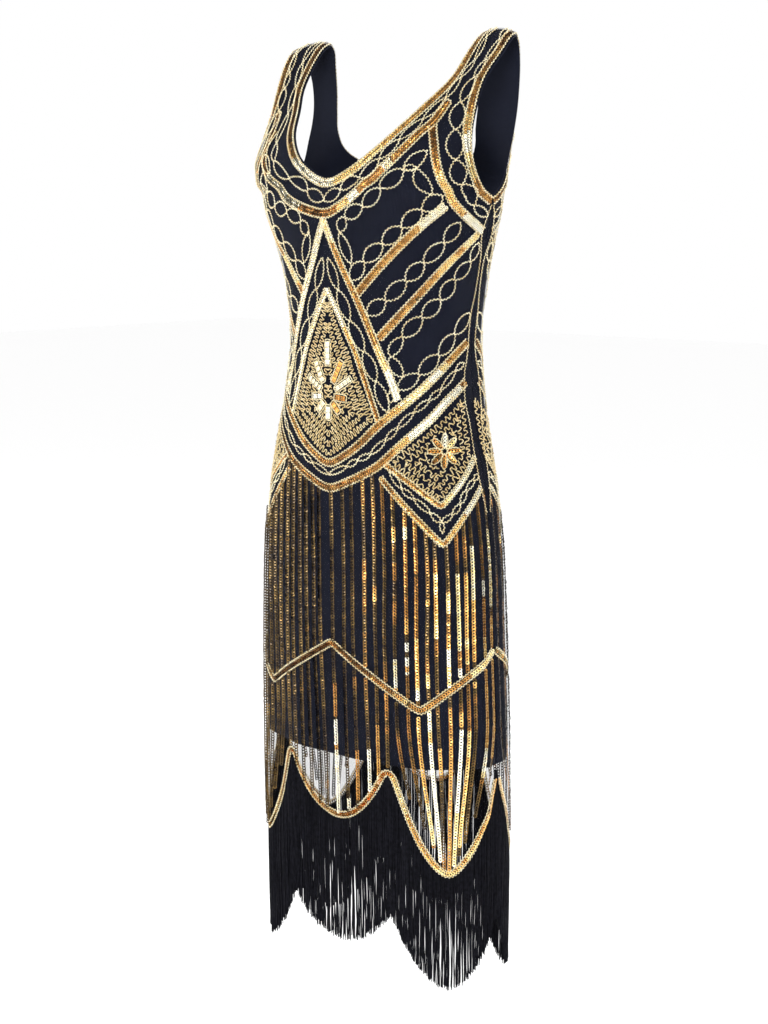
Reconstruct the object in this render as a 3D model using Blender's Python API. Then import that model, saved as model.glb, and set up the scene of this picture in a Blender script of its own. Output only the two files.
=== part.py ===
"""Sleeveless sheath dress with a V neck, a scalloped hem and a fringe, hollow, as it hangs when worn.

Metres, +Z up. The front faces -Y and the wearer's left side is +X. The origin lies midway between
the two strap tops. The outer cloth is a front and a back panel, each with a lining panel just inside
it that ends in a straight hem, and a fringe hangs from the scalloped hem of each outer panel.
"""
from collections import namedtuple

import bmesh
import bpy
import numpy as np

COLLECTION = "flapper_dress"

# Walls, and the gaps that keep the pieces apart
OUTER_WALL = 0.0010
LINING_WALL = 0.0010
LAYER_GAP = 0.0004
SEAM_GAP = 0.0004
FRINGE_WALL = 0.0030
FRINGE_PROUD = 0.0008
FRINGE_TOP_GAP = 0.0008

# Heights of the hems, measured down from the strap tops
LINING_HEM = 0.812
HEM_PEAK = 0.820
HEM_CENTRE_DIP = 0.887
HEM_SIDE_DIP = 0.938
CENTRE_BAY_ROUNDNESS = 2.2
SIDE_BAY_ROUNDNESS = 1.7

# Lengths of the fringe below the hem
FRINGE_AT_CENTRE = 0.148
FRINGE_AT_PEAK = 0.172
FRINGE_AT_SIDE = 0.134

# Places across a panel, as a share of the way from the centre line to the side seam
PEAK_ACROSS = 0.36
SIDE_DIP_ACROSS = 0.70

# Grid of each panel
COLUMNS_PER_BAY = 4
ROWS_BELOW_LINING = 2
FRINGE_ROWS = 2
ARC_SAMPLES = 64

# Steps over which the direction of the cloth is read, along and across a panel
STEP_ALONG = 0.002
STEP_ACROSS = 0.01

SHARP_EDGE = np.radians(50)

# One row for each section, from the shoulder down. The tape is the place down the panel. The inner
# end lies on the neck edge or the centre line, and the outer end on the armhole or the side seam.
# Fullness bows the row between its ends: 1 is straight, 2 a quarter of an ellipse.
Section = namedtuple("Section", "tape in_x in_y in_z out_x out_y out_z fullness")

FRONT_YOKE = (
    Section(0.000, 0.1110, 0.0000, -0.0085, 0.1590, -0.0060, -0.0135, 1.00),
    Section(0.013, 0.1105, -0.0120, -0.0135, 0.1605, -0.0165, -0.0165, 1.00),
    Section(0.030, 0.1095, -0.0275, -0.0275, 0.1590, -0.0310, -0.0320, 1.02),
    Section(0.054, 0.1055, -0.0540, -0.0585, 0.1512, -0.0520, -0.0610, 1.10),
    Section(0.080, 0.0885, -0.0810, -0.0870, 0.1500, -0.0660, -0.0965, 1.25),
    Section(0.108, 0.0680, -0.1115, -0.1186, 0.1530, -0.0755, -0.1280, 1.50),
    Section(0.130, 0.0455, -0.1270, -0.1415, 0.1560, -0.0755, -0.1500, 1.80),
    Section(0.150, 0.0220, -0.1325, -0.1560, 0.1570, -0.0620, -0.1730, 2.05),
    Section(0.166, 0.0000, -0.1345, -0.1660, 0.1560, -0.0425, -0.1830, 2.20),
)
FRONT_BODY = (
    Section(0.166, 0.0, -0.1345, -0.166, 0.156, -0.0425, -0.183, 2.2),
    Section(0.190, 0.0, -0.1395, -0.190, 0.150, -0.0380, -0.202, 2.2),
    Section(0.220, 0.0, -0.1400, -0.220, 0.140, -0.0320, -0.225, 2.2),
    Section(0.255, 0.0, -0.1370, -0.255, 0.128, -0.0260, -0.256, 2.2),
    Section(0.290, 0.0, -0.1350, -0.290, 0.120, -0.0230, -0.290, 2.2),
    Section(0.340, 0.0, -0.1340, -0.340, 0.115, -0.0250, -0.340, 2.2),
    Section(0.390, 0.0, -0.1335, -0.390, 0.120, -0.0290, -0.390, 2.2),
    Section(0.447, 0.0, -0.1335, -0.447, 0.133, -0.0360, -0.447, 2.2),
    Section(0.505, 0.0, -0.1330, -0.505, 0.147, -0.0390, -0.505, 2.2),
    Section(0.575, 0.0, -0.1320, -0.575, 0.156, -0.0400, -0.575, 2.2),
    Section(0.670, 0.0, -0.1310, -0.670, 0.160, -0.0400, -0.670, 2.2),
    Section(0.766, 0.0, -0.1270, -0.766, 0.163, -0.0380, -0.766, 2.2),
    Section(0.864, 0.0, -0.1225, -0.864, 0.164, -0.0370, -0.864, 2.2),
    Section(1.100, 0.0, -0.1180, -1.100, 0.164, -0.0360, -1.100, 2.2),
)
BACK_YOKE = (
    Section(0.000, 0.1110, 0.0000, -0.0085, 0.1590, -0.0060, -0.0135, 1.00),
    Section(0.013, 0.1105, 0.0050, -0.0150, 0.1555, 0.0030, -0.0215, 1.00),
    Section(0.034, 0.1095, 0.0058, -0.0340, 0.1520, 0.0100, -0.0405, 1.00),
    Section(0.061, 0.1050, 0.0030, -0.0610, 0.1492, 0.0125, -0.0660, 1.05),
    Section(0.088, 0.1028, 0.0005, -0.0880, 0.1485, 0.0100, -0.0920, 1.10),
    Section(0.112, 0.1005, 0.0000, -0.1100, 0.1493, 0.0030, -0.1170, 1.20),
    Section(0.132, 0.0945, 0.0070, -0.1290, 0.1510, -0.0060, -0.1410, 1.45),
    Section(0.145, 0.0800, 0.0170, -0.1410, 0.1540, -0.0190, -0.1620, 1.75),
    Section(0.155, 0.0480, 0.0300, -0.1505, 0.1560, -0.0320, -0.1770, 2.00),
    Section(0.162, 0.0000, 0.0375, -0.1560, 0.1560, -0.0425, -0.1830, 2.20),
)
BACK_BODY = (
    Section(0.162, 0.0, 0.0375, -0.156, 0.156, -0.0425, -0.183, 2.2),
    Section(0.190, 0.0, 0.0380, -0.190, 0.150, -0.0380, -0.202, 2.2),
    Section(0.220, 0.0, 0.0400, -0.220, 0.140, -0.0320, -0.225, 2.2),
    Section(0.255, 0.0, 0.0430, -0.255, 0.128, -0.0260, -0.256, 2.2),
    Section(0.290, 0.0, 0.0440, -0.290, 0.120, -0.0230, -0.290, 2.2),
    Section(0.340, 0.0, 0.0440, -0.340, 0.115, -0.0250, -0.340, 2.2),
    Section(0.390, 0.0, 0.0445, -0.390, 0.120, -0.0290, -0.390, 2.2),
    Section(0.447, 0.0, 0.0440, -0.447, 0.133, -0.0360, -0.447, 2.2),
    Section(0.505, 0.0, 0.0440, -0.505, 0.147, -0.0390, -0.505, 2.2),
    Section(0.575, 0.0, 0.0450, -0.575, 0.156, -0.0400, -0.575, 2.2),
    Section(0.670, 0.0, 0.0455, -0.670, 0.160, -0.0400, -0.670, 2.2),
    Section(0.766, 0.0, 0.0460, -0.766, 0.163, -0.0380, -0.766, 2.2),
    Section(0.864, 0.0, 0.0460, -0.864, 0.164, -0.0370, -0.864, 2.2),
    Section(1.100, 0.0, 0.0460, -1.100, 0.164, -0.0360, -1.100, 2.2),
)

# The straps arch over the shoulders: the rise at the middle of the ridge, and where it has faded out
STRAP_ARCH = 0.0062
ARCH_END = 0.060

# Tapes of the grid rows above the lining hem, from the shoulder down
YOKE_SHARES = (0.0, 0.08, 0.18, 0.32, 0.48, 0.65, 0.79, 0.90, 0.955)
BODY_ROWS = (0.205, 0.250, 0.295, 0.345, 0.400, 0.460, 0.520, 0.600, 0.700, LINING_HEM)

# Soft folds of the skirt. Across runs from -1 at the wearer's right seam to 1 at the left one.
Fold = namedtuple("Fold", "across width rise top")

FRONT_FOLDS = (
    Fold(-0.70, 0.13, 0.0030, 0.56),
    Fold(-0.28, 0.11, 0.0022, 0.60),
    Fold(0.16, 0.12, 0.0018, 0.62),
    Fold(0.52, 0.12, 0.0028, 0.55),
    Fold(0.86, 0.09, 0.0050, 0.50),
)
BACK_FOLDS = (
    Fold(-0.84, 0.10, 0.0036, 0.52),
    Fold(-0.45, 0.12, 0.0030, 0.58),
    Fold(-0.05, 0.13, 0.0024, 0.55),
    Fold(0.38, 0.12, 0.0032, 0.57),
    Fold(0.76, 0.10, 0.0038, 0.53),
)
FOLD_FULL_BELOW_TOP = 0.30
FOLD_FADE_AT_SEAM = 8

Panel = namedtuple("Panel", "yoke body folds facing")

FRONT = Panel(FRONT_YOKE, FRONT_BODY, FRONT_FOLDS, -1)
BACK = Panel(BACK_YOKE, BACK_BODY, BACK_FOLDS, 1)

Finish = namedtuple("Finish", "name colour roughness")

OUTER_FINISH = Finish("outer_net", (0.010, 0.010, 0.014, 1.0), 0.45)
LINING_FINISH = Finish("lining_knit", (0.012, 0.016, 0.030, 1.0), 0.65)
FRINGE_FINISH = Finish("fringe_yarn", (0.008, 0.008, 0.010, 1.0), 0.55)


def clear_scene():
    """Takes every object out of the scene."""
    for item in list(bpy.data.objects):
        bpy.data.objects.remove(item, do_unlink=True)


def tapes_of(sections):
    """Tapes of a table's rows."""
    return np.array([section.tape for section in sections])


def read_section(sections, tape):
    """One section at any tape, from a smooth curve through each column of the table."""
    knots = tapes_of(sections)
    tape = float(np.clip(tape, knots[0], knots[-1]))
    low = int(np.clip(np.searchsorted(knots, tape) - 1, 0, len(knots) - 2))
    span = knots[low + 1] - knots[low]
    t = (tape - knots[low]) / span
    values = []
    for column in range(1, len(Section._fields)):
        track = np.array([section[column] for section in sections])
        slopes = np.gradient(track, knots) * span
        start = (1 + 2 * t) * (1 - t) ** 2 * track[low] + t * (1 - t) ** 2 * slopes[low]
        end = t * t * (3 - 2 * t) * track[low + 1] - t * t * (1 - t) * slopes[low + 1]
        values.append(start + end)
    return Section(tape, *values)


def neck_tape(panel):
    """Tape of the row from the lowest point of the neck to the underarm."""
    return panel.yoke[-1].tape


def strap_rise(tape, across):
    """How far the arch of the strap lifts the cloth here."""
    left = np.clip(1 - tape / ARCH_END, 0.0, 1.0)
    return STRAP_ARCH * left * left * 4 * across * (1 - across)


def base_point(panel, tape, across):
    """Point of the unfolded outer face: across is 0 at the inner end of the row, 1 at the outer."""
    sections = panel.yoke if tape < neck_tape(panel) else panel.body
    row = read_section(sections, tape)
    angles = np.linspace(0.0, np.pi / 2, ARC_SAMPLES + 1)
    power = 2.0 / row.fullness
    x = row.in_x + (row.out_x - row.in_x) * np.sin(angles) ** power
    y = row.out_y + (row.in_y - row.out_y) * np.clip(np.cos(angles), 0.0, 1.0) ** power
    run = np.concatenate(([0.0], np.cumsum(np.hypot(np.diff(x), np.diff(y)))))
    place = float(np.clip(across, 0.0, 1.0))
    share = place * run[-1]
    z = row.in_z + (row.out_z - row.in_z) * place + strap_rise(tape, place)
    return np.array([np.interp(share, run, x), np.interp(share, run, y), z])


def base_normal(panel, tape, across):
    """Outward direction of the unfolded face, shared by both panels along their seams."""
    lower = base_point(panel, tape + STEP_ALONG, across)
    upper = base_point(panel, max(tape - STEP_ALONG, 0.0), across)
    along = lower - upper
    if tape < STEP_ALONG:
        along = np.array([0.0, float(panel.facing), 0.0])
    near = base_point(panel, tape, max(across - STEP_ACROSS, 0.0))
    far = base_point(panel, tape, min(across + STEP_ACROSS, 1.0))
    sideways = far - near
    on_body = tape >= neck_tape(panel)
    if on_body and across <= 0.0:
        sideways = np.array([1.0, 0.0, 0.0])
    if on_body and across >= 1.0:
        sideways = np.array([0.0, -float(panel.facing), 0.0])
    normal = np.cross(sideways, along) * panel.facing
    return normal / np.linalg.norm(normal)


def fold_rise(panel, tape, across):
    """How far the soft folds lift the cloth here; they fade out at both seams."""
    rise = 0.0
    for fold in panel.folds:
        grown = np.clip((tape - fold.top) / FOLD_FULL_BELOW_TOP, 0.0, 1.0)
        grown = grown * grown * (3 - 2 * grown)
        rise += fold.rise * grown * np.exp(-(((across - fold.across) / fold.width) ** 2))
    return rise * (1 - across ** FOLD_FADE_AT_SEAM)


def cloth_point(panel, tape, across, lift):
    """Point of the worn cloth, moved out by the lift; across is negative on the wearer's right."""
    side = -1.0 if across < 0 else 1.0
    share = abs(across)
    normal = base_normal(panel, tape, share)
    point = base_point(panel, tape, share)
    if share >= 1.0 and tape >= neck_tape(panel):
        point[1] += panel.facing * SEAM_GAP / 2
    if tape <= 0.0:
        point[1] += panel.facing * SEAM_GAP / 2
    point = point + normal * (lift + fold_rise(panel, tape, across))
    return np.array([side * point[0], point[1], point[2]])


def scallop_dip(across):
    """Share of the way from a peak of the hem (0) to a dip (1), with the depth of that bay."""
    share = abs(across)
    if share <= PEAK_ACROSS:
        away = share / PEAK_ACROSS
        return 1 - away ** CENTRE_BAY_ROUNDNESS, True
    reach = SIDE_DIP_ACROSS - PEAK_ACROSS if share < SIDE_DIP_ACROSS else 1 - SIDE_DIP_ACROSS
    away = abs(share - SIDE_DIP_ACROSS) / reach
    return 1 - away ** SIDE_BAY_ROUNDNESS, False


def hem_tape(across):
    """Tape of the scalloped hem."""
    dip, central = scallop_dip(across)
    lowest = HEM_CENTRE_DIP if central else HEM_SIDE_DIP
    return HEM_PEAK + (lowest - HEM_PEAK) * dip


def fringe_length(across):
    """Length of the fringe below the hem."""
    dip, central = scallop_dip(across)
    lowest = FRINGE_AT_CENTRE if central else FRINGE_AT_SIDE
    return FRINGE_AT_PEAK + (lowest - FRINGE_AT_PEAK) * dip


def column_places():
    """Places of the grid columns from the centre line to the side, with one on each hem point."""
    stops = (0.0, PEAK_ACROSS, SIDE_DIP_ACROSS, 1.0)
    places = [0.0]
    for start, end in zip(stops, stops[1:]):
        for step in range(1, COLUMNS_PER_BAY + 1):
            places.append(start + (end - start) * step / COLUMNS_PER_BAY)
    return places


def upper_rows(panel):
    """Tapes of the rows above the lining hem: functions of across, from the shoulder down."""
    tip = neck_tape(panel)
    fixed = [tip * share for share in YOKE_SHARES] + [tip] + list(BODY_ROWS)
    return [lambda across, tape=tape: tape for tape in fixed]


def hem_rows():
    """Rows between the lining hem and the scalloped hem."""
    rows = []
    for step in range(1, ROWS_BELOW_LINING + 1):
        share = step / ROWS_BELOW_LINING
        rows.append(lambda across, share=share: LINING_HEM + (hem_tape(across) - LINING_HEM) * share)
    return rows


def fringe_rows():
    """Rows of the fringe, from just under the hem to its ends."""
    rows = []
    for step in range(FRINGE_ROWS + 1):
        share = step / FRINGE_ROWS
        rows.append(
            lambda across, share=share: hem_tape(across) + FRINGE_TOP_GAP
            + (fringe_length(across) - FRINGE_TOP_GAP) * share
        )
    return rows


def wall_faces(rows, columns, split_rows):
    """Corners of each face of a half wall, as (layer, row, column): its two faces and its edges."""
    for row in range(rows):
        for column in range(columns):
            for layer in (0, 1):
                yield (
                    (layer, row, column),
                    (layer, row, column + 1),
                    (layer, row + 1, column + 1),
                    (layer, row + 1, column),
                )
        for column in (0, columns) if row in split_rows else (columns,):
            yield (0, row, column), (0, row + 1, column), (1, row + 1, column), (1, row, column)
    for row in (0, rows):
        for column in range(columns):
            yield (0, row, column), (0, row, column + 1), (1, row, column + 1), (1, row, column)


def build_wall(name, panel, rows, outer_lift, wall, finish, collection):
    """A closed wall through the grid of rows, split at the neck where the two halves part."""
    grid = bmesh.new()
    places = column_places()
    tip = neck_tape(panel)
    corners = {}

    def corner(side, layer, row, column):
        tape = rows[row](places[column])
        joined = column == 0 and tape >= tip
        key = (0 if joined else side, layer, row, column)
        if key not in corners:
            across = places[column] * side
            point = cloth_point(panel, tape, across, outer_lift - layer * wall)
            if column == 0 and not joined:
                point[0] = abs(point[0]) * side
            corners[key] = grid.verts.new(point)
        return corners[key]

    split_rows = [row for row in range(len(rows)) if rows[row](0.0) < tip]
    for side in (-1, 1):
        for face in wall_faces(len(rows) - 1, len(places) - 1, split_rows):
            grid.faces.new([corner(side, *place) for place in face])
    bmesh.ops.recalc_face_normals(grid, faces=grid.faces)
    bmesh.ops.triangulate(grid, faces=grid.faces)
    mesh = bpy.data.meshes.new(name)
    grid.to_mesh(mesh)
    grid.free()
    mesh.shade_smooth()
    mesh.set_sharp_from_angle(angle=SHARP_EDGE)
    mesh.materials.append(make_material(finish))
    piece = bpy.data.objects.new(name, mesh)
    collection.objects.link(piece)
    return piece


def make_material(finish):
    """Plain material of one finish."""
    material = bpy.data.materials.get(finish.name) or bpy.data.materials.new(finish.name)
    material.use_nodes = True
    shader = material.node_tree.nodes["Principled BSDF"]
    shader.inputs["Base Color"].default_value = finish.colour
    shader.inputs["Roughness"].default_value = finish.roughness
    shader.inputs["Metallic"].default_value = 0.0
    return material


def build_outer(name, panel, collection):
    """Outer cloth of one panel, from the shoulder to the scalloped hem."""
    rows = upper_rows(panel) + hem_rows()
    return build_wall(name, panel, rows, 0.0, OUTER_WALL, OUTER_FINISH, collection)


def build_lining(name, panel, collection):
    """Lining of one panel, just inside the outer cloth, with a straight hem."""
    lift = -(OUTER_WALL + LAYER_GAP)
    return build_wall(name, panel, upper_rows(panel), lift, LINING_WALL, LINING_FINISH, collection)


def build_fringe(name, panel, collection):
    """Fringe of one panel, one solid as deep as the hanging strands reach."""
    return build_wall(name, panel, fringe_rows(), FRINGE_PROUD, FRINGE_WALL, FRINGE_FINISH, collection)


def main():
    """Builds the dress in a collection of its own."""
    clear_scene()
    collection = bpy.data.collections.get(COLLECTION) or bpy.data.collections.new(COLLECTION)
    if collection.name not in bpy.context.scene.collection.children:
        bpy.context.scene.collection.children.link(collection)
    for label, panel in (("front", FRONT), ("back", BACK)):
        build_outer(label + "_panel", panel, collection)
        build_lining(label + "_lining", panel, collection)
        build_fringe(label + "_fringe", panel, collection)


main()
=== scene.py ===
"""Looks of a sleeveless sheath dress: black net over a dark knit lining, gold sequin and bead work, fringe.

Metres, +Z up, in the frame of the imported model: the front faces -Y, the wearer's left side is +X and the
origin lies midway between the two strap tops. The cloth's own shape is read from the same sections as the
solids, laid out here as finer shells, and every sequin and bead is set on those shells.
"""

import logging
import math
from dataclasses import dataclass, field
from enum import Enum
from typing import Callable, NamedTuple, Sequence

import bmesh
import bpy
import numpy as np
from bmesh.types import BMesh
from bpy.types import ID, Material, Mesh, Node, NodeSocket, NodeTree, Object
from mathutils import Matrix, Vector
from mathutils.bvhtree import BVHTree


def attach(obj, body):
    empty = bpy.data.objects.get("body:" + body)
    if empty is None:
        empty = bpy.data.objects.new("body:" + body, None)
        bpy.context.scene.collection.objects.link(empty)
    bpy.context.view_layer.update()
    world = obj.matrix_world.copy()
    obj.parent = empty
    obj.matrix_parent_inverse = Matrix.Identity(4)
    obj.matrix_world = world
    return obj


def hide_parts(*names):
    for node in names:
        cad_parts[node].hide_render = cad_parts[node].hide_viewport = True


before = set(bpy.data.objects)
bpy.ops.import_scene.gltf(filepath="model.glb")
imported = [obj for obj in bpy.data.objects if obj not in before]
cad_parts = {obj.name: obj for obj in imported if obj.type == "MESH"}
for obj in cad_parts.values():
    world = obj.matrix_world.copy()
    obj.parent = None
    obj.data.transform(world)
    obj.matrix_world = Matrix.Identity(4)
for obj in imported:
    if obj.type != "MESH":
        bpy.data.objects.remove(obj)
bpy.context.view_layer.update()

log = logging.getLogger("flapper_dress")

BODY = "root"

# Walls of the shells and how far the lining lies inside the outer cloth
NET_WALL = 0.0005
LINING_WALL = 0.0007
LINING_DEPTH = 0.0015

# Heights of the hems, measured down from the strap tops
LINING_HEM = 0.812
HEM_PEAK = 0.820
HEM_CENTRE_DIP = 0.887
HEM_SIDE_DIP = 0.938
CENTRE_BAY_ROUNDNESS = 2.2
SIDE_BAY_ROUNDNESS = 1.7

# Lengths of the fringe below the hem
FRINGE_AT_CENTRE = 0.148
FRINGE_AT_PEAK = 0.172
FRINGE_AT_SIDE = 0.134

# Places across a panel, as a share of the way from the centre line to the side seam
PEAK_ACROSS = 0.36
SIDE_DIP_ACROSS = 0.70

# How finely the sections are read
ARC_SAMPLES = 96
LATTICE_ACROSS = 100
LATTICE_STEP = 0.002
STEP_ALONG = 0.002
STEP_ACROSS = 0.01

# A fold has its full rise so far below its top; a crease fades over a third of its length at each end; both
# fade out towards the seams by this power
FOLD_FULL_BELOW_TOP = 0.30
CREASE_ENDS = 3.0
FADE_AT_SEAM = 8

# The straps arch over the shoulders: the rise at the middle of the ridge, and where it has faded out
STRAP_ARCH = 0.0062
ARCH_END = 0.060

# Widest level of the skirt, where the width of the cut is read
WIDEST_TAPE = 0.70
# Half width of the cloth's own map, and the name of that map
MAP_HALF_WIDTH = 0.2
CLOTH_MAP = "cloth"

# Small amounts: next to nothing, just inside an edge, and the gap at which two corners are one
NEAR_ZERO = 1e-9
JUST_INSIDE = 1e-6
WELD_GAP = 1e-5
LAST_ROW_MARGIN = 0.001

# Seeds of each panel's random draws
FRONT_SEED = 11
BACK_SEED = 23

# Turns a point or a direction onto the wearer's other side
OTHER_SIDE = np.array((-1.0, 1.0, 1.0))

Array = np.ndarray
Stretch = tuple[Array, Array, float]
Colour = tuple[float, float, float]


class Section(NamedTuple):
    """One row of a panel, from its inner end to its outer end, at a place down the panel."""

    tape: float
    in_x: float
    in_y: float
    in_z: float
    out_x: float
    out_y: float
    out_z: float
    fullness: float


class BodyRow(NamedTuple):
    """One level of the body below the neck: the side seam, and the centre lines of both panels."""

    tape: float
    seam_x: float
    seam_y: float
    seam_z: float
    front_y: float
    back_y: float


class Fold(NamedTuple):
    """A soft fold of the skirt that grows from its top downwards."""

    across: float
    width: float
    rise: float
    top: float


class Crease(NamedTuple):
    """A ridge, or with a negative rise a trough, that runs down the cloth and leans as it goes."""

    across: float
    lean: float
    top: float
    bottom: float
    width: float
    rise: float


FRONT_YOKE = (
    Section(0.000, 0.1110, 0.0000, -0.0085, 0.1590, -0.0060, -0.0135, 1.00),
    Section(0.013, 0.1105, -0.0120, -0.0135, 0.1605, -0.0165, -0.0165, 1.00),
    Section(0.030, 0.1095, -0.0275, -0.0275, 0.1590, -0.0310, -0.0320, 1.02),
    Section(0.054, 0.1055, -0.0540, -0.0585, 0.1512, -0.0520, -0.0610, 1.10),
    Section(0.080, 0.0885, -0.0810, -0.0870, 0.1500, -0.0660, -0.0965, 1.25),
    Section(0.108, 0.0680, -0.1115, -0.1186, 0.1530, -0.0755, -0.1280, 1.50),
    Section(0.130, 0.0455, -0.1270, -0.1415, 0.1560, -0.0755, -0.1500, 1.80),
    Section(0.150, 0.0220, -0.1325, -0.1560, 0.1570, -0.0620, -0.1730, 2.05),
    Section(0.166, 0.0000, -0.1345, -0.1660, 0.1560, -0.0425, -0.1830, 2.20),
)
BACK_YOKE = (
    Section(0.000, 0.1110, 0.0000, -0.0085, 0.1590, -0.0060, -0.0135, 1.00),
    Section(0.013, 0.1105, 0.0050, -0.0150, 0.1555, 0.0030, -0.0215, 1.00),
    Section(0.034, 0.1095, 0.0058, -0.0340, 0.1520, 0.0100, -0.0405, 1.00),
    Section(0.061, 0.1050, 0.0030, -0.0610, 0.1492, 0.0125, -0.0660, 1.05),
    Section(0.088, 0.1028, 0.0005, -0.0880, 0.1485, 0.0100, -0.0920, 1.10),
    Section(0.112, 0.1005, 0.0000, -0.1100, 0.1493, 0.0030, -0.1170, 1.20),
    Section(0.132, 0.0945, 0.0070, -0.1290, 0.1510, -0.0060, -0.1410, 1.45),
    Section(0.145, 0.0800, 0.0170, -0.1410, 0.1540, -0.0190, -0.1620, 1.75),
    Section(0.155, 0.0480, 0.0300, -0.1505, 0.1560, -0.0320, -0.1770, 2.00),
    Section(0.162, 0.0000, 0.0375, -0.1560, 0.1560, -0.0425, -0.1830, 2.20),
)
# Below the neck each row is an arc from the centre line to the side seam, fuller than an ellipse
BODY_FULLNESS = 2.2
BODY_ROWS = (
    BodyRow(0.190, 0.150, -0.0380, -0.202, -0.1395, 0.0380),
    BodyRow(0.220, 0.140, -0.0320, -0.225, -0.1400, 0.0400),
    BodyRow(0.255, 0.128, -0.0260, -0.256, -0.1370, 0.0430),
    BodyRow(0.290, 0.120, -0.0230, -0.290, -0.1350, 0.0440),
    BodyRow(0.340, 0.115, -0.0250, -0.340, -0.1340, 0.0440),
    BodyRow(0.390, 0.120, -0.0290, -0.390, -0.1335, 0.0445),
    BodyRow(0.447, 0.133, -0.0360, -0.447, -0.1335, 0.0440),
    BodyRow(0.505, 0.147, -0.0390, -0.505, -0.1330, 0.0440),
    BodyRow(0.575, 0.156, -0.0400, -0.575, -0.1320, 0.0450),
    BodyRow(0.670, 0.160, -0.0400, -0.670, -0.1310, 0.0455),
    BodyRow(0.766, 0.163, -0.0380, -0.766, -0.1270, 0.0460),
    BodyRow(0.864, 0.164, -0.0370, -0.864, -0.1225, 0.0460),
    BodyRow(1.100, 0.164, -0.0360, -1.100, -0.1180, 0.0460),
)


def body_sections(neck_tip: Section, facing: int) -> tuple[Section, ...]:
    """Sections of one panel's body.

    Args:
        neck_tip: The section at the lowest point of its neck.
        facing: -1 for the front panel and 1 for the back.

    Returns:
        The sections from there down.
    """
    sections = [neck_tip]
    for row in BODY_ROWS:
        middle_y = row.front_y if facing < 0 else row.back_y
        seam = (row.seam_x, row.seam_y, row.seam_z)
        sections.append(Section(row.tape, 0.0, middle_y, -row.tape, *seam, BODY_FULLNESS))
    return tuple(sections)


FRONT_FOLDS = (
    Fold(-0.70, 0.13, 0.0030, 0.56),
    Fold(-0.28, 0.11, 0.0022, 0.60),
    Fold(0.16, 0.12, 0.0018, 0.62),
    Fold(0.52, 0.12, 0.0028, 0.55),
    Fold(0.86, 0.09, 0.0050, 0.50),
)
BACK_FOLDS = (
    Fold(-0.84, 0.10, 0.0036, 0.52),
    Fold(-0.45, 0.12, 0.0030, 0.58),
    Fold(-0.05, 0.13, 0.0024, 0.55),
    Fold(0.38, 0.12, 0.0032, 0.57),
    Fold(0.76, 0.10, 0.0038, 0.53),
)

FRONT_CREASES = (
    Crease(0.90, 0.03, 0.49, 0.99, 0.040, 0.0034),
    Crease(0.80, 0.04, 0.52, 0.97, 0.045, -0.0018),
    Crease(0.62, -0.03, 0.60, 0.98, 0.050, 0.0012),
    Crease(-0.52, 0.02, 0.60, 0.98, 0.060, -0.0014),
    Crease(-0.90, -0.01, 0.52, 0.97, 0.050, 0.0022),
    Crease(-0.10, 0.02, 0.66, 1.00, 0.050, -0.0010),
    Crease(0.34, 0.02, 0.68, 1.00, 0.045, 0.0010),
    Crease(0.80, -0.30, 0.215, 0.350, 0.060, -0.0014),
    Crease(0.90, -0.26, 0.235, 0.400, 0.050, 0.0012),
    Crease(-0.78, 0.28, 0.215, 0.345, 0.060, -0.0013),
    Crease(-0.88, 0.24, 0.240, 0.385, 0.050, 0.0011),
    Crease(0.55, -0.10, 0.300, 0.420, 0.070, -0.0011),
    Crease(-0.50, 0.12, 0.290, 0.410, 0.070, -0.0012),
    Crease(0.42, 0.04, 0.170, 0.270, 0.090, 0.0010),
    Crease(-0.44, -0.03, 0.170, 0.260, 0.090, 0.0010),
)
BACK_CREASES = (
    Crease(-0.92, -0.02, 0.50, 0.98, 0.045, 0.0028),
    Crease(-0.64, 0.03, 0.58, 0.97, 0.050, -0.0016),
    Crease(-0.22, -0.02, 0.62, 1.00, 0.055, 0.0012),
    Crease(0.14, 0.03, 0.60, 0.99, 0.050, -0.0014),
    Crease(0.58, -0.02, 0.57, 0.98, 0.055, 0.0014),
    Crease(0.90, 0.02, 0.54, 0.98, 0.045, 0.0024),
    Crease(0.82, -0.28, 0.215, 0.360, 0.060, -0.0014),
    Crease(-0.80, 0.30, 0.220, 0.355, 0.060, -0.0013),
    Crease(0.20, -0.12, 0.290, 0.400, 0.080, -0.0012),
    Crease(-0.26, 0.14, 0.285, 0.395, 0.080, -0.0012),
    Crease(0.05, 0.02, 0.310, 0.420, 0.070, 0.0010),
)


def smooth_step(value: Array) -> Array:
    """Eased copy of a value that is cut to the range from 0 to 1."""
    held = np.clip(value, 0.0, 1.0)
    return held * held * (3.0 - 2.0 * held)


def unit(vectors: Array) -> Array:
    """Each row scaled to a length of 1."""
    length = np.linalg.norm(vectors, axis=-1, keepdims=True)
    return vectors / np.maximum(length, NEAR_ZERO)


def square_to(vectors: Array, along: Array) -> Array:
    """Directions of the parts of some vectors that are square to the given directions."""
    return unit(vectors - along * (vectors * along).sum(axis=1, keepdims=True))


def run_along(points: Array) -> Array:
    """Distance from a line's start at each of its points."""
    steps = np.linalg.norm(np.diff(points, axis=0), axis=1)
    return np.concatenate(([0.0], np.cumsum(steps)))


def read_line(points: Array, run: Array, wanted: Array) -> Array:
    """Points of a line at the wanted distances, where run holds the distance of each of its own points."""
    return np.stack([np.interp(wanted, run, column) for column in points.T], axis=1)


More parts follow.
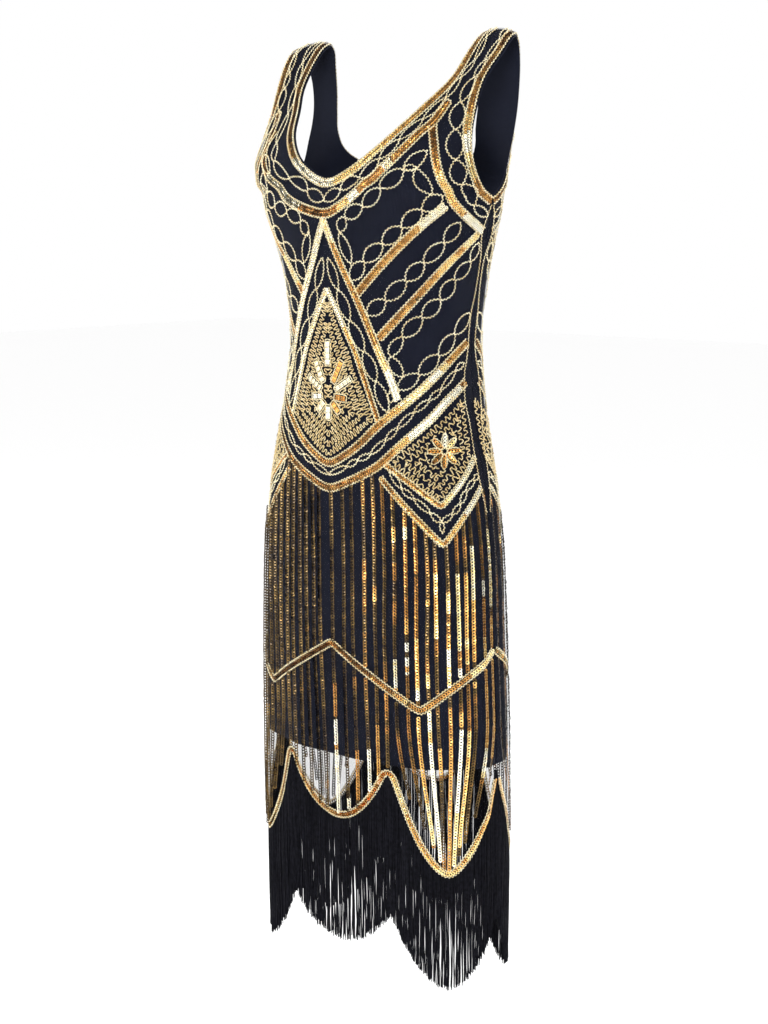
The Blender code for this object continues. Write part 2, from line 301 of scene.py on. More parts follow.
def read_section(sections: Sequence[Section], tape: float) -> Section:
    """One section at any tape, from a smooth curve through each column of the table.

    Args:
        sections: The rows of the table, from the shoulder down.
        tape: The place down the panel.

    Returns:
        The section there.
    """
    knots = np.array([section.tape for section in sections])
    tape = float(np.clip(tape, knots[0], knots[-1]))
    low = int(np.clip(np.searchsorted(knots, tape) - 1, 0, len(knots) - 2))
    span = knots[low + 1] - knots[low]
    t = (tape - knots[low]) / span
    values = []
    for column in range(1, len(Section._fields)):
        track = np.array([section[column] for section in sections])
        slopes = np.gradient(track, knots) * span
        start = (1 + 2 * t) * (1 - t) ** 2 * track[low] + t * (1 - t) ** 2 * slopes[low]
        end = t * t * (3 - 2 * t) * track[low + 1] - t * t * (1 - t) * slopes[low + 1]
        values.append(start + end)
    return Section(tape, *values)


def scallop(across: Array, peak: float, centre: float, side: float) -> Array:
    """A value that runs from its amount at the hem's peaks to its amount at each kind of dip.

    Args:
        across: Places across the panel, from -1 to 1.
        peak: Amount at the peaks.
        centre: Amount at the dip on the centre line.
        side: Amount at the dips near the side seams.

    Returns:
        The amount at each place.
    """
    share = np.abs(across)
    central = share <= PEAK_ACROSS
    inner = 1.0 - (share / PEAK_ACROSS) ** CENTRE_BAY_ROUNDNESS
    reach = np.where(share < SIDE_DIP_ACROSS, SIDE_DIP_ACROSS - PEAK_ACROSS, 1.0 - SIDE_DIP_ACROSS)
    outer = 1.0 - np.minimum(np.abs(share - SIDE_DIP_ACROSS) / reach, 1.0) ** SIDE_BAY_ROUNDNESS
    return np.where(central, peak + (centre - peak) * inner, peak + (side - peak) * outer)


def hem_tape(across: Array) -> Array:
    """Tape of the scalloped hem at each place across a panel."""
    return scallop(across, HEM_PEAK, HEM_CENTRE_DIP, HEM_SIDE_DIP)


def fringe_length(across: Array) -> Array:
    """Length of the fringe below the hem at each place across a panel."""
    return scallop(across, FRINGE_AT_PEAK, FRINGE_AT_CENTRE, FRINGE_AT_SIDE)


def strap_rise(tape: float, across: Array) -> Array:
    """How far the arch of the strap lifts the cloth at one tape, at each place across."""
    left = min(max(1.0 - tape / ARCH_END, 0.0), 1.0)
    return STRAP_ARCH * left * left * 4.0 * across * (1.0 - across)


@dataclass
class WornPanel:
    """The worn shape of one panel, read from its sections.

    Attributes:
        side: "front" or "back".
        yoke: Sections from the shoulder to the lowest point of the neck.
        body: Sections from there down.
        folds: Soft folds of the skirt.
        creases: Smaller ridges and troughs.
        facing: -1 where the panel faces -Y and 1 where it faces +Y.
    """

    side: str
    yoke: Sequence[Section]
    body: Sequence[Section]
    folds: Sequence[Fold]
    creases: Sequence[Crease]
    facing: int
    lattices: dict[str, tuple[Array, Array]] = field(default_factory=dict)

    def __post_init__(self) -> None:
        """Reads both tables into regular lattices of points."""
        self.lattices["yoke"] = self.lattice(self.yoke)
        self.lattices["body"] = self.lattice(self.body)

    @property
    def tip(self) -> float:
        """Tape of the lowest point of the neck."""
        return self.yoke[-1].tape

    def lattice(self, sections: Sequence[Section]) -> tuple[Array, Array]:
        """Points of the unfolded outer face on a regular lattice.

        Args:
            sections: The table to read.

        Returns:
            The tapes of the lattice's rows, and its points.
        """
        start, end = sections[0].tape, sections[-1].tape
        tapes = np.linspace(start, end, max(int(round((end - start) / LATTICE_STEP)), 2) + 1)
        shares = np.linspace(0.0, 1.0, LATTICE_ACROSS + 1)
        angles = np.linspace(0.0, np.pi / 2, ARC_SAMPLES + 1)
        points = np.zeros((len(tapes), len(shares), 3))
        for place, tape in enumerate(tapes):
            row = read_section(sections, tape)
            power = 2.0 / row.fullness
            x = row.in_x + (row.out_x - row.in_x) * np.sin(angles) ** power
            y = row.out_y + (row.in_y - row.out_y) * np.clip(np.cos(angles), 0.0, 1.0) ** power
            run = np.concatenate(([0.0], np.cumsum(np.hypot(np.diff(x), np.diff(y)))))
            points[place, :, 0] = np.interp(shares * run[-1], run, x)
            points[place, :, 1] = np.interp(shares * run[-1], run, y)
            points[place, :, 2] = row.in_z + (row.out_z - row.in_z) * shares + strap_rise(tape, shares)
        return tapes, points

    def base(self, tape: Array, share: Array) -> Array:
        """Points of the unfolded face on the wearer's left half.

        Args:
            tape: Places down the panel.
            share: Places across, from 0 at the inner end of the row to 1 at the outer.

        Returns:
            One point for each place.
        """
        found = np.zeros((len(tape), 3))
        in_yoke = tape < self.tip
        for key, chosen in (("yoke", in_yoke), ("body", ~in_yoke)):
            if not chosen.any():
                continue
            tapes, points = self.lattices[key]
            down = (tape[chosen] - tapes[0]) / (tapes[1] - tapes[0])
            down = np.clip(down, 0.0, len(tapes) - 1 - LAST_ROW_MARGIN)
            over = np.clip(share[chosen], 0.0, 1.0) * LATTICE_ACROSS
            over = np.minimum(over, LATTICE_ACROSS - JUST_INSIDE)
            i, j = down.astype(int), over.astype(int)
            u, v = (down - i)[:, None], (over - j)[:, None]
            upper = points[i, j] * (1 - v) + points[i, j + 1] * v
            lower = points[i + 1, j] * (1 - v) + points[i + 1, j + 1] * v
            found[chosen] = upper * (1 - u) + lower * u
        return found

    def base_normals(self, tape: Array, share: Array) -> Array:
        """Outward directions of the unfolded face, shared by both panels along their seams."""
        above = self.base(np.maximum(tape - STEP_ALONG, 0.0), share)
        along = self.base(tape + STEP_ALONG, share) - above
        along[tape < STEP_ALONG] = (0.0, float(self.facing), 0.0)
        near = self.base(tape, np.maximum(share - STEP_ACROSS, 0.0))
        sideways = self.base(tape, np.minimum(share + STEP_ACROSS, 1.0)) - near
        on_body = tape >= self.tip
        sideways[on_body & (share <= 0.0)] = (1.0, 0.0, 0.0)
        sideways[on_body & (share >= 1.0)] = (0.0, -float(self.facing), 0.0)
        return unit(np.cross(sideways, along) * self.facing)

    def relief(self, tape: Array, across: Array) -> Array:
        """How far the folds and creases lift the cloth at each place; they fade out at the seams."""
        rise = np.zeros(len(tape))
        for fold in self.folds:
            grown = smooth_step((tape - fold.top) / FOLD_FULL_BELOW_TOP)
            rise += fold.rise * grown * np.exp(-(((across - fold.across) / fold.width) ** 2))
        for crease in self.creases:
            along = (tape - crease.top) / (crease.bottom - crease.top)
            middle = crease.across + crease.lean * np.clip(along, 0.0, 1.0)
            ends = smooth_step(along * CREASE_ENDS) * smooth_step((1.0 - along) * CREASE_ENDS)
            rise += crease.rise * ends * np.exp(-(((across - middle) / crease.width) ** 2))
        return rise * (1.0 - np.abs(across) ** FADE_AT_SEAM)

    def points(self, tape: Array, across: Array, lift: float = 0.0) -> Array:
        """Points of the worn cloth.

        Args:
            tape: Places down the panel.
            across: Places across, negative on the wearer's right.
            lift: How far out of the outer face they lie.

        Returns:
            One point for each place.
        """
        tape, across = np.broadcast_arrays(np.asarray(tape, float), np.asarray(across, float))
        share = np.abs(across)
        rise = (lift + self.relief(tape, across))[:, None]
        found = self.base(tape, share) + self.base_normals(tape, share) * rise
        found[:, 0] *= np.where(across < 0, -1.0, 1.0)
        return found

    def half_widths(self, tape: Array) -> Array:
        """Length of the cloth from the centre line to the side seam at each tape."""
        tapes, lattice = self.lattices["body"]
        lengths = np.linalg.norm(np.diff(lattice, axis=1), axis=2).sum(axis=1)
        return np.interp(tape, tapes, lengths)


# Finishes

Feed = NodeSocket | float | None


class Tint(NamedTuple):
    """A stop of a colour ramp: a place from 0 to 1 and a linear colour."""

    place: float
    colour: Colour


def new_material(name: str) -> tuple[Material, NodeTree, Node]:
    """A new material with its node tree and its shader."""
    material = bpy.data.materials.new(name)
    material.use_nodes = True
    tree = material.node_tree
    return material, tree, tree.nodes["Principled BSDF"]


def set_inputs(node: Node, values: dict[str, float | tuple[float, ...]]) -> None:
    """Sets a node's own inputs by their names."""
    for name, value in values.items():
        node.inputs[name].default_value = value


def ramp_node(tree: NodeTree, tints: Sequence[Tint]) -> Node:
    """A colour ramp with the given stops."""
    node = tree.nodes.new("ShaderNodeValToRGB")
    ramp = node.color_ramp
    ramp.elements[0].position = tints[0].place
    ramp.elements[-1].position = tints[-1].place
    for tint in tints[1:-1]:
        ramp.elements.new(tint.place)
    for element, tint in zip(ramp.elements, tints):
        element.color = (*tint.colour, 1.0)
    return node


def math_node(tree: NodeTree, operation: str, first: Feed, second: Feed = None) -> NodeSocket:
    """A maths node's result.

    Args:
        tree: The tree that gets the node.
        operation: The node's operation.
        first: The first input.
        second: The second input, where the operation has one.

    Returns:
        The socket that holds the result.
    """
    node = tree.nodes.new("ShaderNodeMath")
    node.operation = operation
    for slot, value in enumerate((first, second)):
        if isinstance(value, NodeSocket):
            tree.links.new(value, node.inputs[slot])
        elif value is not None:
            node.inputs[slot].default_value = value
    return node.outputs[0]


def cloth_wave(tree: NodeTree, axis: str, pitch: float) -> NodeSocket:
    """A sine wave along one axis of the cloth's own map, one wave to each pitch."""
    uv = tree.nodes.new("ShaderNodeUVMap")
    uv.uv_map = CLOTH_MAP
    parts = tree.nodes.new("ShaderNodeSeparateXYZ")
    tree.links.new(uv.outputs["UV"], parts.inputs[0])
    return math_node(tree, "SINE", math_node(tree, "MULTIPLY", parts.outputs[axis], math.tau / pitch))


def noise(tree: NodeTree, scale: float, detail: float) -> NodeSocket:
    """Noise on the piece's own coordinates."""
    place = tree.nodes.new("ShaderNodeTexCoord")
    cloud = tree.nodes.new("ShaderNodeTexNoise")
    set_inputs(cloud, {"Scale": scale, "Detail": detail})
    tree.links.new(place.outputs["Object"], cloud.inputs["Vector"])
    return cloud.outputs["Fac"]


def add_bump(
    tree: NodeTree, shader: Node, height: NodeSocket, depth: float
) -> None:
    """Feeds a height, in shares of the depth, to the shader's normal."""
    bump = tree.nodes.new("ShaderNodeBump")
    set_inputs(bump, {"Strength": 1.0, "Distance": depth})
    tree.links.new(height, bump.inputs["Height"])
    tree.links.new(bump.outputs["Normal"], shader.inputs["Normal"])


class Pattern(Enum):
    """What the relief of a finish follows."""

    THREADS = "threads"
    RIBS = "ribs"
    GRAIN = "grain"


# Grain of yarn and gold; stitches along a rib, as shares of its pitch and its rise; painted shade in the rib
# troughs, as the ribs' share in the knit's colour, and the slow clouds in it
GRAIN_DETAIL = 2.0
STITCH_PITCH = 0.8
STITCH_RISE = 0.35
RIB_SHADE = 0.25
CLOUD_SCALE = 9.0
CLOUD_DETAIL = 3.0


@dataclass(frozen=True)
class Finish:
    """A finish of cloth, yarn or gold.

    Attributes:
        name: Material name.
        pattern: What its relief follows.
        scale: Distance between threads or ribs, or scale of the grain.
        relief: How far that stands up.
        tints: Its colours, from the pattern's lowest place or the darkest tone upwards.
        values: The shader's own values.
        toned: True where each sequin's or bead's own tone picks its colour; the sequins' tones carry painted
            glints, highlights and shade.
        rough: Least roughness and what the grain adds to it, where it is uneven.
    """

    name: str
    pattern: Pattern
    scale: float
    relief: float
    tints: tuple[Tint, ...]
    values: dict[str, float | tuple[float, ...]]
    toned: bool = False
    rough: tuple[float, ...] = ()

    def follow(self, tree: NodeTree) -> tuple[NodeSocket, NodeSocket]:
        """Makes the nodes of the pattern.

        Args:
            tree: The tree that gets them.

        Returns:
            The height of the relief, and the place on the range of colours.
        """
        if self.pattern is Pattern.RIBS:
            stitches = cloth_wave(tree, "Y", self.scale * STITCH_PITCH)
            stitches = math_node(tree, "MULTIPLY", stitches, STITCH_RISE)
            height = math_node(tree, "ADD", cloth_wave(tree, "X", self.scale), stitches)
            # Painted shade: the knit is darker in the troughs of the ribs and lighter on their crests
            tone = math_node(tree, "MULTIPLY", height, RIB_SHADE)
            return height, math_node(tree, "ADD", tone, noise(tree, CLOUD_SCALE, CLOUD_DETAIL))
        if self.pattern is Pattern.THREADS:
            waves = [cloth_wave(tree, axis, self.scale) for axis in ("X", "Y")]
            height = math_node(tree, "MAXIMUM", *waves)
        else:
            height = noise(tree, self.scale, GRAIN_DETAIL)
        return height, height

    def material(self) -> Material:
        """Builds the material."""
        material, tree, shader = new_material(self.name)
        set_inputs(shader, self.values)
        height, place = self.follow(tree)
        if self.toned:
            own_tone = tree.nodes.new("ShaderNodeAttribute")
            own_tone.attribute_name = "tone"
            place = own_tone.outputs["Fac"]
        ramp = ramp_node(tree, self.tints)
        tree.links.new(place, ramp.inputs["Fac"])
        tree.links.new(ramp.outputs["Color"], shader.inputs["Base Color"])
        if self.rough:
            least, more = self.rough
            rough = math_node(tree, "ADD", math_node(tree, "MULTIPLY", height, more), least)
            tree.links.new(rough, shader.inputs["Roughness"])
        add_bump(tree, shader, height, self.relief)
        return material


NET = Finish(
    name="black_net",
    pattern=Pattern.THREADS,
    scale=0.0013,
    relief=0.0001,
    tints=(Tint(0.0, (0.003, 0.003, 0.005)), Tint(1.0, (0.008, 0.008, 0.011))),
    values={"Alpha": 0.13, "Roughness": 0.5, "Specular IOR Level": 0.04},
)
LINING = Finish(
    name="dark_lining_knit",
    pattern=Pattern.RIBS,
    scale=0.0016,
    relief=0.00012,
    tints=(Tint(0.15, (0.0070, 0.0080, 0.0150)), Tint(0.85, (0.0140, 0.0170, 0.0330))),
    values={
        "Roughness": 0.55,
        "Specular IOR Level": 0.05,
        "Sheen Weight": 0.02,
        "Sheen Roughness": 0.45,
        "Sheen Tint": (0.55, 0.60, 0.85, 1.0),
    },
)
YARN = Finish(
    name="black_fringe_yarn",
    pattern=Pattern.GRAIN,
    scale=260.0,
    relief=0.00015,
    tints=(Tint(0.3, (0.0035, 0.0035, 0.005)), Tint(0.8, (0.012, 0.012, 0.017))),
    values={"Roughness": 0.6, "Specular IOR Level": 0.04},
)
# The sequins' colours run from painted shade at the dark stops, through the amber gold itself, to painted
# glints at the pale stops
SEQUIN_GOLD = Finish(
    name="gold_sequin",
    pattern=Pattern.GRAIN,
    scale=420.0,
    relief=0.00006,
    tints=(
        Tint(0.00, (0.030, 0.018, 0.008)),
        Tint(0.22, (0.120, 0.075, 0.022)),
        Tint(0.42, (0.420, 0.190, 0.045)),
        Tint(0.62, (0.860, 0.480, 0.130)),
        Tint(0.80, (0.980, 0.780, 0.340)),
        Tint(1.00, (1.000, 0.960, 0.780)),
    ),
    values={"Metallic": 1.0, "Coat Weight": 0.3, "Coat Roughness": 0.08},
    toned=True,
    rough=(0.14, 0.22),
)
BEAD_GOLD = Finish(
    name="gold_bead",
    pattern=Pattern.GRAIN,
    scale=420.0,
    relief=0.00006,
    tints=(
        Tint(0.00, (0.340, 0.200, 0.060)),
        Tint(0.50, (0.800, 0.620, 0.300)),
        Tint(1.00, (1.000, 0.930, 0.680)),
    ),
    values={"Metallic": 0.35, "Coat Weight": 0.4, "Coat Roughness": 0.08},
    toned=True,
    rough=(0.18, 0.22),
)


# Building helpers


def mesh_of(name: str, shape: BMesh) -> Mesh:
    """A mesh of a finished shape."""
    mesh = bpy.data.meshes.new(name)
    shape.to_mesh(mesh)
    shape.free()
    return mesh


def new_object(name: str, data: ID) -> Object:
    """A new object in the scene."""
    made = bpy.data.objects.new(name, data)
    bpy.context.scene.collection.objects.link(made)
    return made


def baked(holder: Object) -> Mesh:
    """A smooth mesh of an object with its modifiers, or with its thickness."""
    graph = bpy.context.evaluated_depsgraph_get()
    mesh = bpy.data.meshes.new_from_object(holder.evaluated_get(graph))
    mesh.shade_smooth()
    return mesh


def put(name: str, mesh: Mesh, material: Material, slot: str) -> Object:
    """Makes a piece of a mesh, dresses it and lets it ride on the dress.

    Args:
        name: Name of the piece.
        mesh: Its mesh.
        material: Its material.
        slot: The record's material slot; not used.

    Returns:
        The piece.
    """
    mesh.name = name
    mesh.materials.clear()
    mesh.materials.append(material)
    piece = new_object(name, mesh)
    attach(piece, BODY)
    log.info("%s: %d faces", name, len(mesh.polygons))
    return piece


@dataclass
class ClothShell:
    """A thin shell of one panel, from the shoulder to its hem.

    Attributes:
        panel: The worn panel that it follows.
        lift: How far out of the panel's outer face it lies.
        wall: Its thickness.
        scalloped: True where it ends in the scalloped hem, False where its hem is straight.
        columns: Cells from the centre line to the side seam.
        yoke_rows: Cells from the shoulder to the neck.
        body_rows: Cells from there to the lining's hem.
        hem_rows: Cells from there to the scalloped hem.
        area: Area of the cloth, once it is built.
    """

    panel: WornPanel
    lift: float
    wall: float
    scalloped: bool
    columns: int = 50
    yoke_rows: int = 26
    body_rows: int = 84
    hem_rows: int = 16
    area: float = 0.0

    @property
    def rows_below_neck(self) -> int:
        """Cells from the neck to the shell's own hem."""
        return self.body_rows + (self.hem_rows if self.scalloped else 0)

    def yoke_tapes(self, across: Array, share: float) -> Array:
        """Tape of one row of the yoke at each place across; its share runs from 0 to 1 down it."""
        return np.full(len(across), self.panel.tip * share)

    def body_tapes(self, across: Array, share: float) -> Array:
        """Tape of one row of the body at each place across; its share runs from 0 to 1 down it."""
        split = self.body_rows / self.rows_below_neck
        if share <= split + NEAR_ZERO:
            return np.full(len(across), self.panel.tip + (LINING_HEM - self.panel.tip) * share / split)
        below = (share - split) / (1.0 - split)
        return LINING_HEM + (hem_tape(across) - LINING_HEM) * below

    def lay_grid(
        self,
        shell: BMesh,
        span: tuple[float, float],
        cells: tuple[int, int],
        tapes: Callable[[Array, float], Array],
    ) -> None:
        """Adds one grid to the shell and moves its corners onto the cloth.

        Args:
            shell: The mesh that gets the grid.
            span: Places across of its two sides.
            cells: Cells across and down.
            tapes: Gives the tapes of a row from the places across and the row's share.
        """
        columns, rows = cells
        made = bmesh.ops.create_grid(shell, x_segments=columns, y_segments=rows, size=0.5)["verts"]
        over = np.array([vert.co.x + 0.5 for vert in made])
        down = np.round(np.array([0.5 - vert.co.y for vert in made]) * rows) / rows
        across = span[0] + (span[1] - span[0]) * np.round(over * columns) / columns
        tape = np.zeros(len(made))
        for share in np.unique(down):
            chosen = down == share
            tape[chosen] = tapes(across[chosen], float(share))
        if span[1] == 0.0:
            across = np.where(across == 0.0, -NEAR_ZERO, across)
        places = self.panel.points(tape, across, self.lift)
        layer = shell.loops.layers.uv.verify()
        sheet = {}
        for vert, place, out, fall in zip(made, places, across, tape):
            vert.co = place
            sheet[vert] = (out * MAP_HALF_WIDTH, -fall)
        for face in {face for vert in made for face in vert.link_faces}:
            for loop in face.loops:
                loop[layer].uv = sheet[loop.vert]
            face.smooth = True

    def build(self) -> Mesh:
        """Builds the open shell as one mesh, with its outer face outwards.

        Returns:
            The mesh.
        """
        shell = bmesh.new()
        shell.loops.layers.uv.new(CLOTH_MAP)
        for span in ((-1.0, 0.0), (0.0, 1.0)):
            self.lay_grid(shell, span, (self.columns, self.yoke_rows), self.yoke_tapes)
        self.lay_grid(shell, (-1.0, 1.0), (2 * self.columns, self.rows_below_neck), self.body_tapes)
        bmesh.ops.remove_doubles(shell, verts=shell.verts, dist=WELD_GAP)
        bmesh.ops.recalc_face_normals(shell, faces=shell.faces)
        outermost = max(shell.faces, key=lambda face: face.calc_center_median().y * self.panel.facing)
        if outermost.normal.y * self.panel.facing < 0:
            bmesh.ops.reverse_faces(shell, faces=shell.faces)
        self.area = sum(face.calc_area() for face in shell.faces)
        return mesh_of(CLOTH_MAP, shell)

    def thicken(self, piece: Object) -> None:
        """Gives the shell its wall, on its inner side."""
        wall = piece.modifiers.new("wall", "SOLIDIFY")
        wall.thickness = self.wall
        wall.offset = -1.0


@dataclass
class ClothSkin:
    """The outer face of a shell, for setting things on it."""

    mesh: Mesh
    facing: int

    def __post_init__(self) -> None:
        """Builds the search tree and keeps the smooth directions of the corners."""
        corners = [vert.co.copy() for vert in self.mesh.vertices]
        faces = [tuple(face.vertices) for face in self.mesh.polygons]
        self.tree = BVHTree.FromPolygons(corners, faces)
        self.faces = faces
        self.corner_places = np.array(corners)
        self.corner_normals = np.array([vert.normal for vert in self.mesh.vertices])

    def smooth_normal(self, index: int, place: Vector) -> Array:
        """Direction at a place on a face, blended from the face's corners."""
        ids = list(self.faces[index])
        gaps = np.linalg.norm(self.corner_places[ids] - np.array(place), axis=1)
        weights = 1.0 / np.maximum(gaps, JUST_INSIDE)
        return (self.corner_normals[ids] * weights[:, None]).sum(axis=0) / weights.sum()

    def snap(self, points: Array) -> tuple[Array, Array]:
        """Nearest places on the cloth and the outward directions there.

        Args:
            points: Points near the cloth.

        Returns:
            The places and the directions.
        """
        places, normals = np.zeros_like(points), np.zeros_like(points)
        for row, point in enumerate(points):
            place, _, index, _ = self.tree.find_nearest(Vector(point))
            places[row] = place
            normals[row] = self.smooth_normal(index, place)
        return places, unit(normals)


class Spot(NamedTuple):
    """A point of the design.

    Attributes:
        tape: Its place down the panel.
        across: Its place across, from 0 at the neck edge or centre line to 1 at the armhole or side seam;
            negative on the wearer's right.
    """

    tape: float
    across: float


def other_side(spots: Sequence[Spot]) -> tuple[Spot, ...]:
    """The same spots on the wearer's other side."""
    return tuple(Spot(spot.tape, -spot.across) for spot in spots)


def straight_path(spots: Sequence[Spot], steps: int) -> Array:
    """Straight runs from spot to spot, as rows of tape and across, with so many rows to a run."""
    knots = np.array(spots, float)
    places = np.linspace(0.0, len(knots) - 1.0, (len(knots) - 1) * steps + 1)
    return read_line(knots, np.arange(len(knots)), places)


def smooth_path(spots: Sequence[Spot], steps: int) -> Array:
    """A smooth curve through spots, as rows of tape and across.

    Args:
        spots: The spots, in order.
        steps: Rows from each spot to the next.

    Returns:
        The rows, with the spots themselves among them.
    """
    if len(spots) < 3:
        return straight_path(spots, steps)
    knots = np.array(spots, float)
    padded = np.concatenate((2 * knots[:1] - knots[1:2], knots, 2 * knots[-1:] - knots[-2:-1]))
    t = np.linspace(0.0, 1.0, steps, endpoint=False)[:, None]
    rows = []
    for before, start, end, after in zip(padded[:-3], padded[1:-2], padded[2:-1], padded[3:]):
        bend = (2 * before - 5 * start + 4 * end - after) * t**2
        twist = (3 * start - before - 3 * end + after) * t**3
        rows.append(0.5 * (2 * start + (end - before) * t + bend + twist))
    rows.append(knots[-1:])
    return np.concatenate(rows)


def side_vectors(corners: Array) -> Array:
    """The sides of an outline, each from its corner to the next."""
    return np.roll(corners, -1, axis=0) - corners


def inset_corners(corners: Array, distance: float) -> Array:
    """The corners of a convex outline moved inwards.

    Args:
        corners: Its corners in order, as flat points.
        distance: How far every side moves.

    Returns:
        The new corners.
    """
    sides = unit(side_vectors(corners))
    inward = np.stack((-sides[:, 1], sides[:, 0]), axis=1)
    middle = corners.mean(axis=0)
    inward *= np.sign(((middle - corners) * inward).sum(axis=1))[:, None]
    starts = corners + inward * distance
    before, side_before = np.roll(starts, 1, axis=0), np.roll(sides, 1, axis=0)
    gap = starts - before
    turn = side_before[:, 0] * sides[:, 1] - side_before[:, 1] * sides[:, 0]
    reach = (gap[:, 0] * sides[:, 1] - gap[:, 1] * sides[:, 0]) / turn
    return before + side_before * reach[:, None]


@dataclass
class Course:
    """A line on the cloth with the frame that follows it."""

    places: Array
    along: Array
    outward: Array

    @property
    def sideways(self) -> Array:
        """Direction in the cloth, square to the line, at each point."""
        return unit(np.cross(self.outward, self.along))


def directions(places: Array) -> Array:
    """Direction of a line at each of its points."""
    if len(places) < 2:
        return np.tile((0.0, 0.0, -1.0), (len(places), 1))
    return unit(np.gradient(places, axis=0))


def spaced(places: Array, pitch: float) -> Array:
    """Points at an even pitch along a line."""
    run = run_along(places)
    count = max(int(round(run[-1] / pitch)), 1)
    return read_line(places, run, np.linspace(0.0, run[-1], count + 1))


def rounded(places: Array, passes: int) -> Array:
    """A line with its corners rounded by repeated averaging; its ends stay."""
    for _ in range(passes):
        inner = 0.25 * places[:-2] + 0.5 * places[1:-1] + 0.25 * places[2:]
        places = np.concatenate((places[:1], inner, places[-1:]))
    return places


def turns(along: Array, sideways: Array, outward: Array) -> Array:
    """Euler turns that bring a piece's own axes onto the given directions."""
    matrix = np.stack((along, sideways, outward), axis=2)
    y = np.arcsin(np.clip(-matrix[:, 2, 0], -1.0, 1.0))
    x = np.arctan2(matrix[:, 2, 1], matrix[:, 2, 2])
    z = np.arctan2(matrix[:, 1, 0], matrix[:, 0, 0])
    return np.stack((x, y, z), axis=1)


def swung(first: Array, second: Array, angle: Array) -> tuple[Array, Array]:
    """Two directions turned together by an angle, the first towards the second."""
    cosine, sine = np.cos(angle)[:, None], np.sin(angle)[:, None]
    return first * cosine + second * sine, second * cosine - first * sine


def drift(rng: np.random.Generator, count: int, run: float) -> Array:
    """Smooth random values from -1 to 1, with a new one about every so many items."""
    knots = rng.uniform(-1.0, 1.0, int(count / run) + 3)
    place = np.arange(count) / run + rng.uniform(0.0, 1.0)
    low = place.astype(int)
    share = smooth_step(place - low)
    return knots[low] * (1 - share) + knots[low + 1] * share


class Trim(Enum):
    """The kinds of small things that are sewn on."""

    SEQUIN = "sequin"
    BEAD = "bead"
    BUGLE = "bugle"


@dataclass(frozen=True)
class TrimShape:
    """Template shapes of the small things, each about its own middle with its thread along X."""

    sequin_radius: float = 0.00245
    sequin_hole: float = 0.00094
    sequin_cup: float = 0.00030
    sequin_sides: int = 8
    bead_radius: float = 0.00086
    bead_stretch: float = 1.35
    bugle_radius: float = 0.00095
    bugle_length: float = 0.006
    bead_sides: int = 6

    def build(self, kind: Trim) -> Mesh:
        """Builds the template of one kind.

        Args:
            kind: Which small thing.

        Returns:
            Its mesh.
        """
        shape = bmesh.new()
        if kind is Trim.SEQUIN:
            radius, sides = self.sequin_radius, self.sequin_sides
            bmesh.ops.create_circle(shape, cap_ends=True, segments=sides, radius=radius)
            rim = list(shape.faces)
            inset = (radius - self.sequin_hole) * math.cos(math.pi / sides)
            bmesh.ops.inset_individual(shape, faces=rim, thickness=inset, depth=0.0)
            bmesh.ops.translate(shape, verts=rim[0].verts, vec=(0.0, 0.0, -self.sequin_cup))
            bmesh.ops.delete(shape, geom=rim, context="FACES_ONLY")
        elif kind is Trim.BEAD:
            radius, sides = self.bead_radius, self.bead_sides
            bmesh.ops.create_uvsphere(shape, u_segments=sides, v_segments=2, radius=radius)
            bmesh.ops.scale(shape, verts=shape.verts, vec=(self.bead_stretch, 1.0, 1.0))
        else:
            bmesh.ops.create_cone(
                shape,
                cap_ends=True,
                segments=self.bead_sides,
                radius1=self.bugle_radius,
                radius2=self.bugle_radius,
                depth=self.bugle_length,
                matrix=Matrix.Rotation(math.pi / 2, 4, "Y"),
            )
        bmesh.ops.recalc_face_normals(shape, faces=shape.faces)
        if kind is Trim.SEQUIN and next(iter(shape.faces)).normal.z < 0:
            bmesh.ops.reverse_faces(shape, faces=shape.faces)
        mesh = mesh_of(kind.value, shape)
        mesh.shade_smooth()
        return mesh


def set_on_points(template: Object) -> NodeTree:
    """The nodes that set a turned and sized copy of the template on every point and make them one mesh."""
    tree = bpy.data.node_groups.new("set_on_points", "GeometryNodeTree")
    for way in ("INPUT", "OUTPUT"):
        tree.interface.new_socket("Geometry", in_out=way, socket_type="NodeSocketGeometry")
    add = tree.nodes.new
    start, end = add("NodeGroupInput"), add("NodeGroupOutput")
    source, copies = add("GeometryNodeObjectInfo"), add("GeometryNodeInstanceOnPoints")
    source.inputs["Object"].default_value = template
    euler, realize = add("FunctionNodeEulerToRotation"), add("GeometryNodeRealizeInstances")
    stored = {}
    for name, kind in (("turn", "FLOAT_VECTOR"), ("size", "FLOAT")):
        node = add("GeometryNodeInputNamedAttribute")
        node.data_type = kind
        node.inputs["Name"].default_value = name
        stored[name] = node.outputs["Attribute"]
    wires = (
        (start.outputs[0], copies.inputs["Points"]),
        (source.outputs["Geometry"], copies.inputs["Instance"]),
        (stored["turn"], euler.inputs[0]),
        (euler.outputs[0], copies.inputs["Rotation"]),
        (stored["size"], copies.inputs["Scale"]),
        (copies.outputs[0], realize.inputs[0]),
        (realize.outputs[0], end.inputs[0]),
    )
    for output, target in wires:
        tree.links.new(output, target)
    return tree


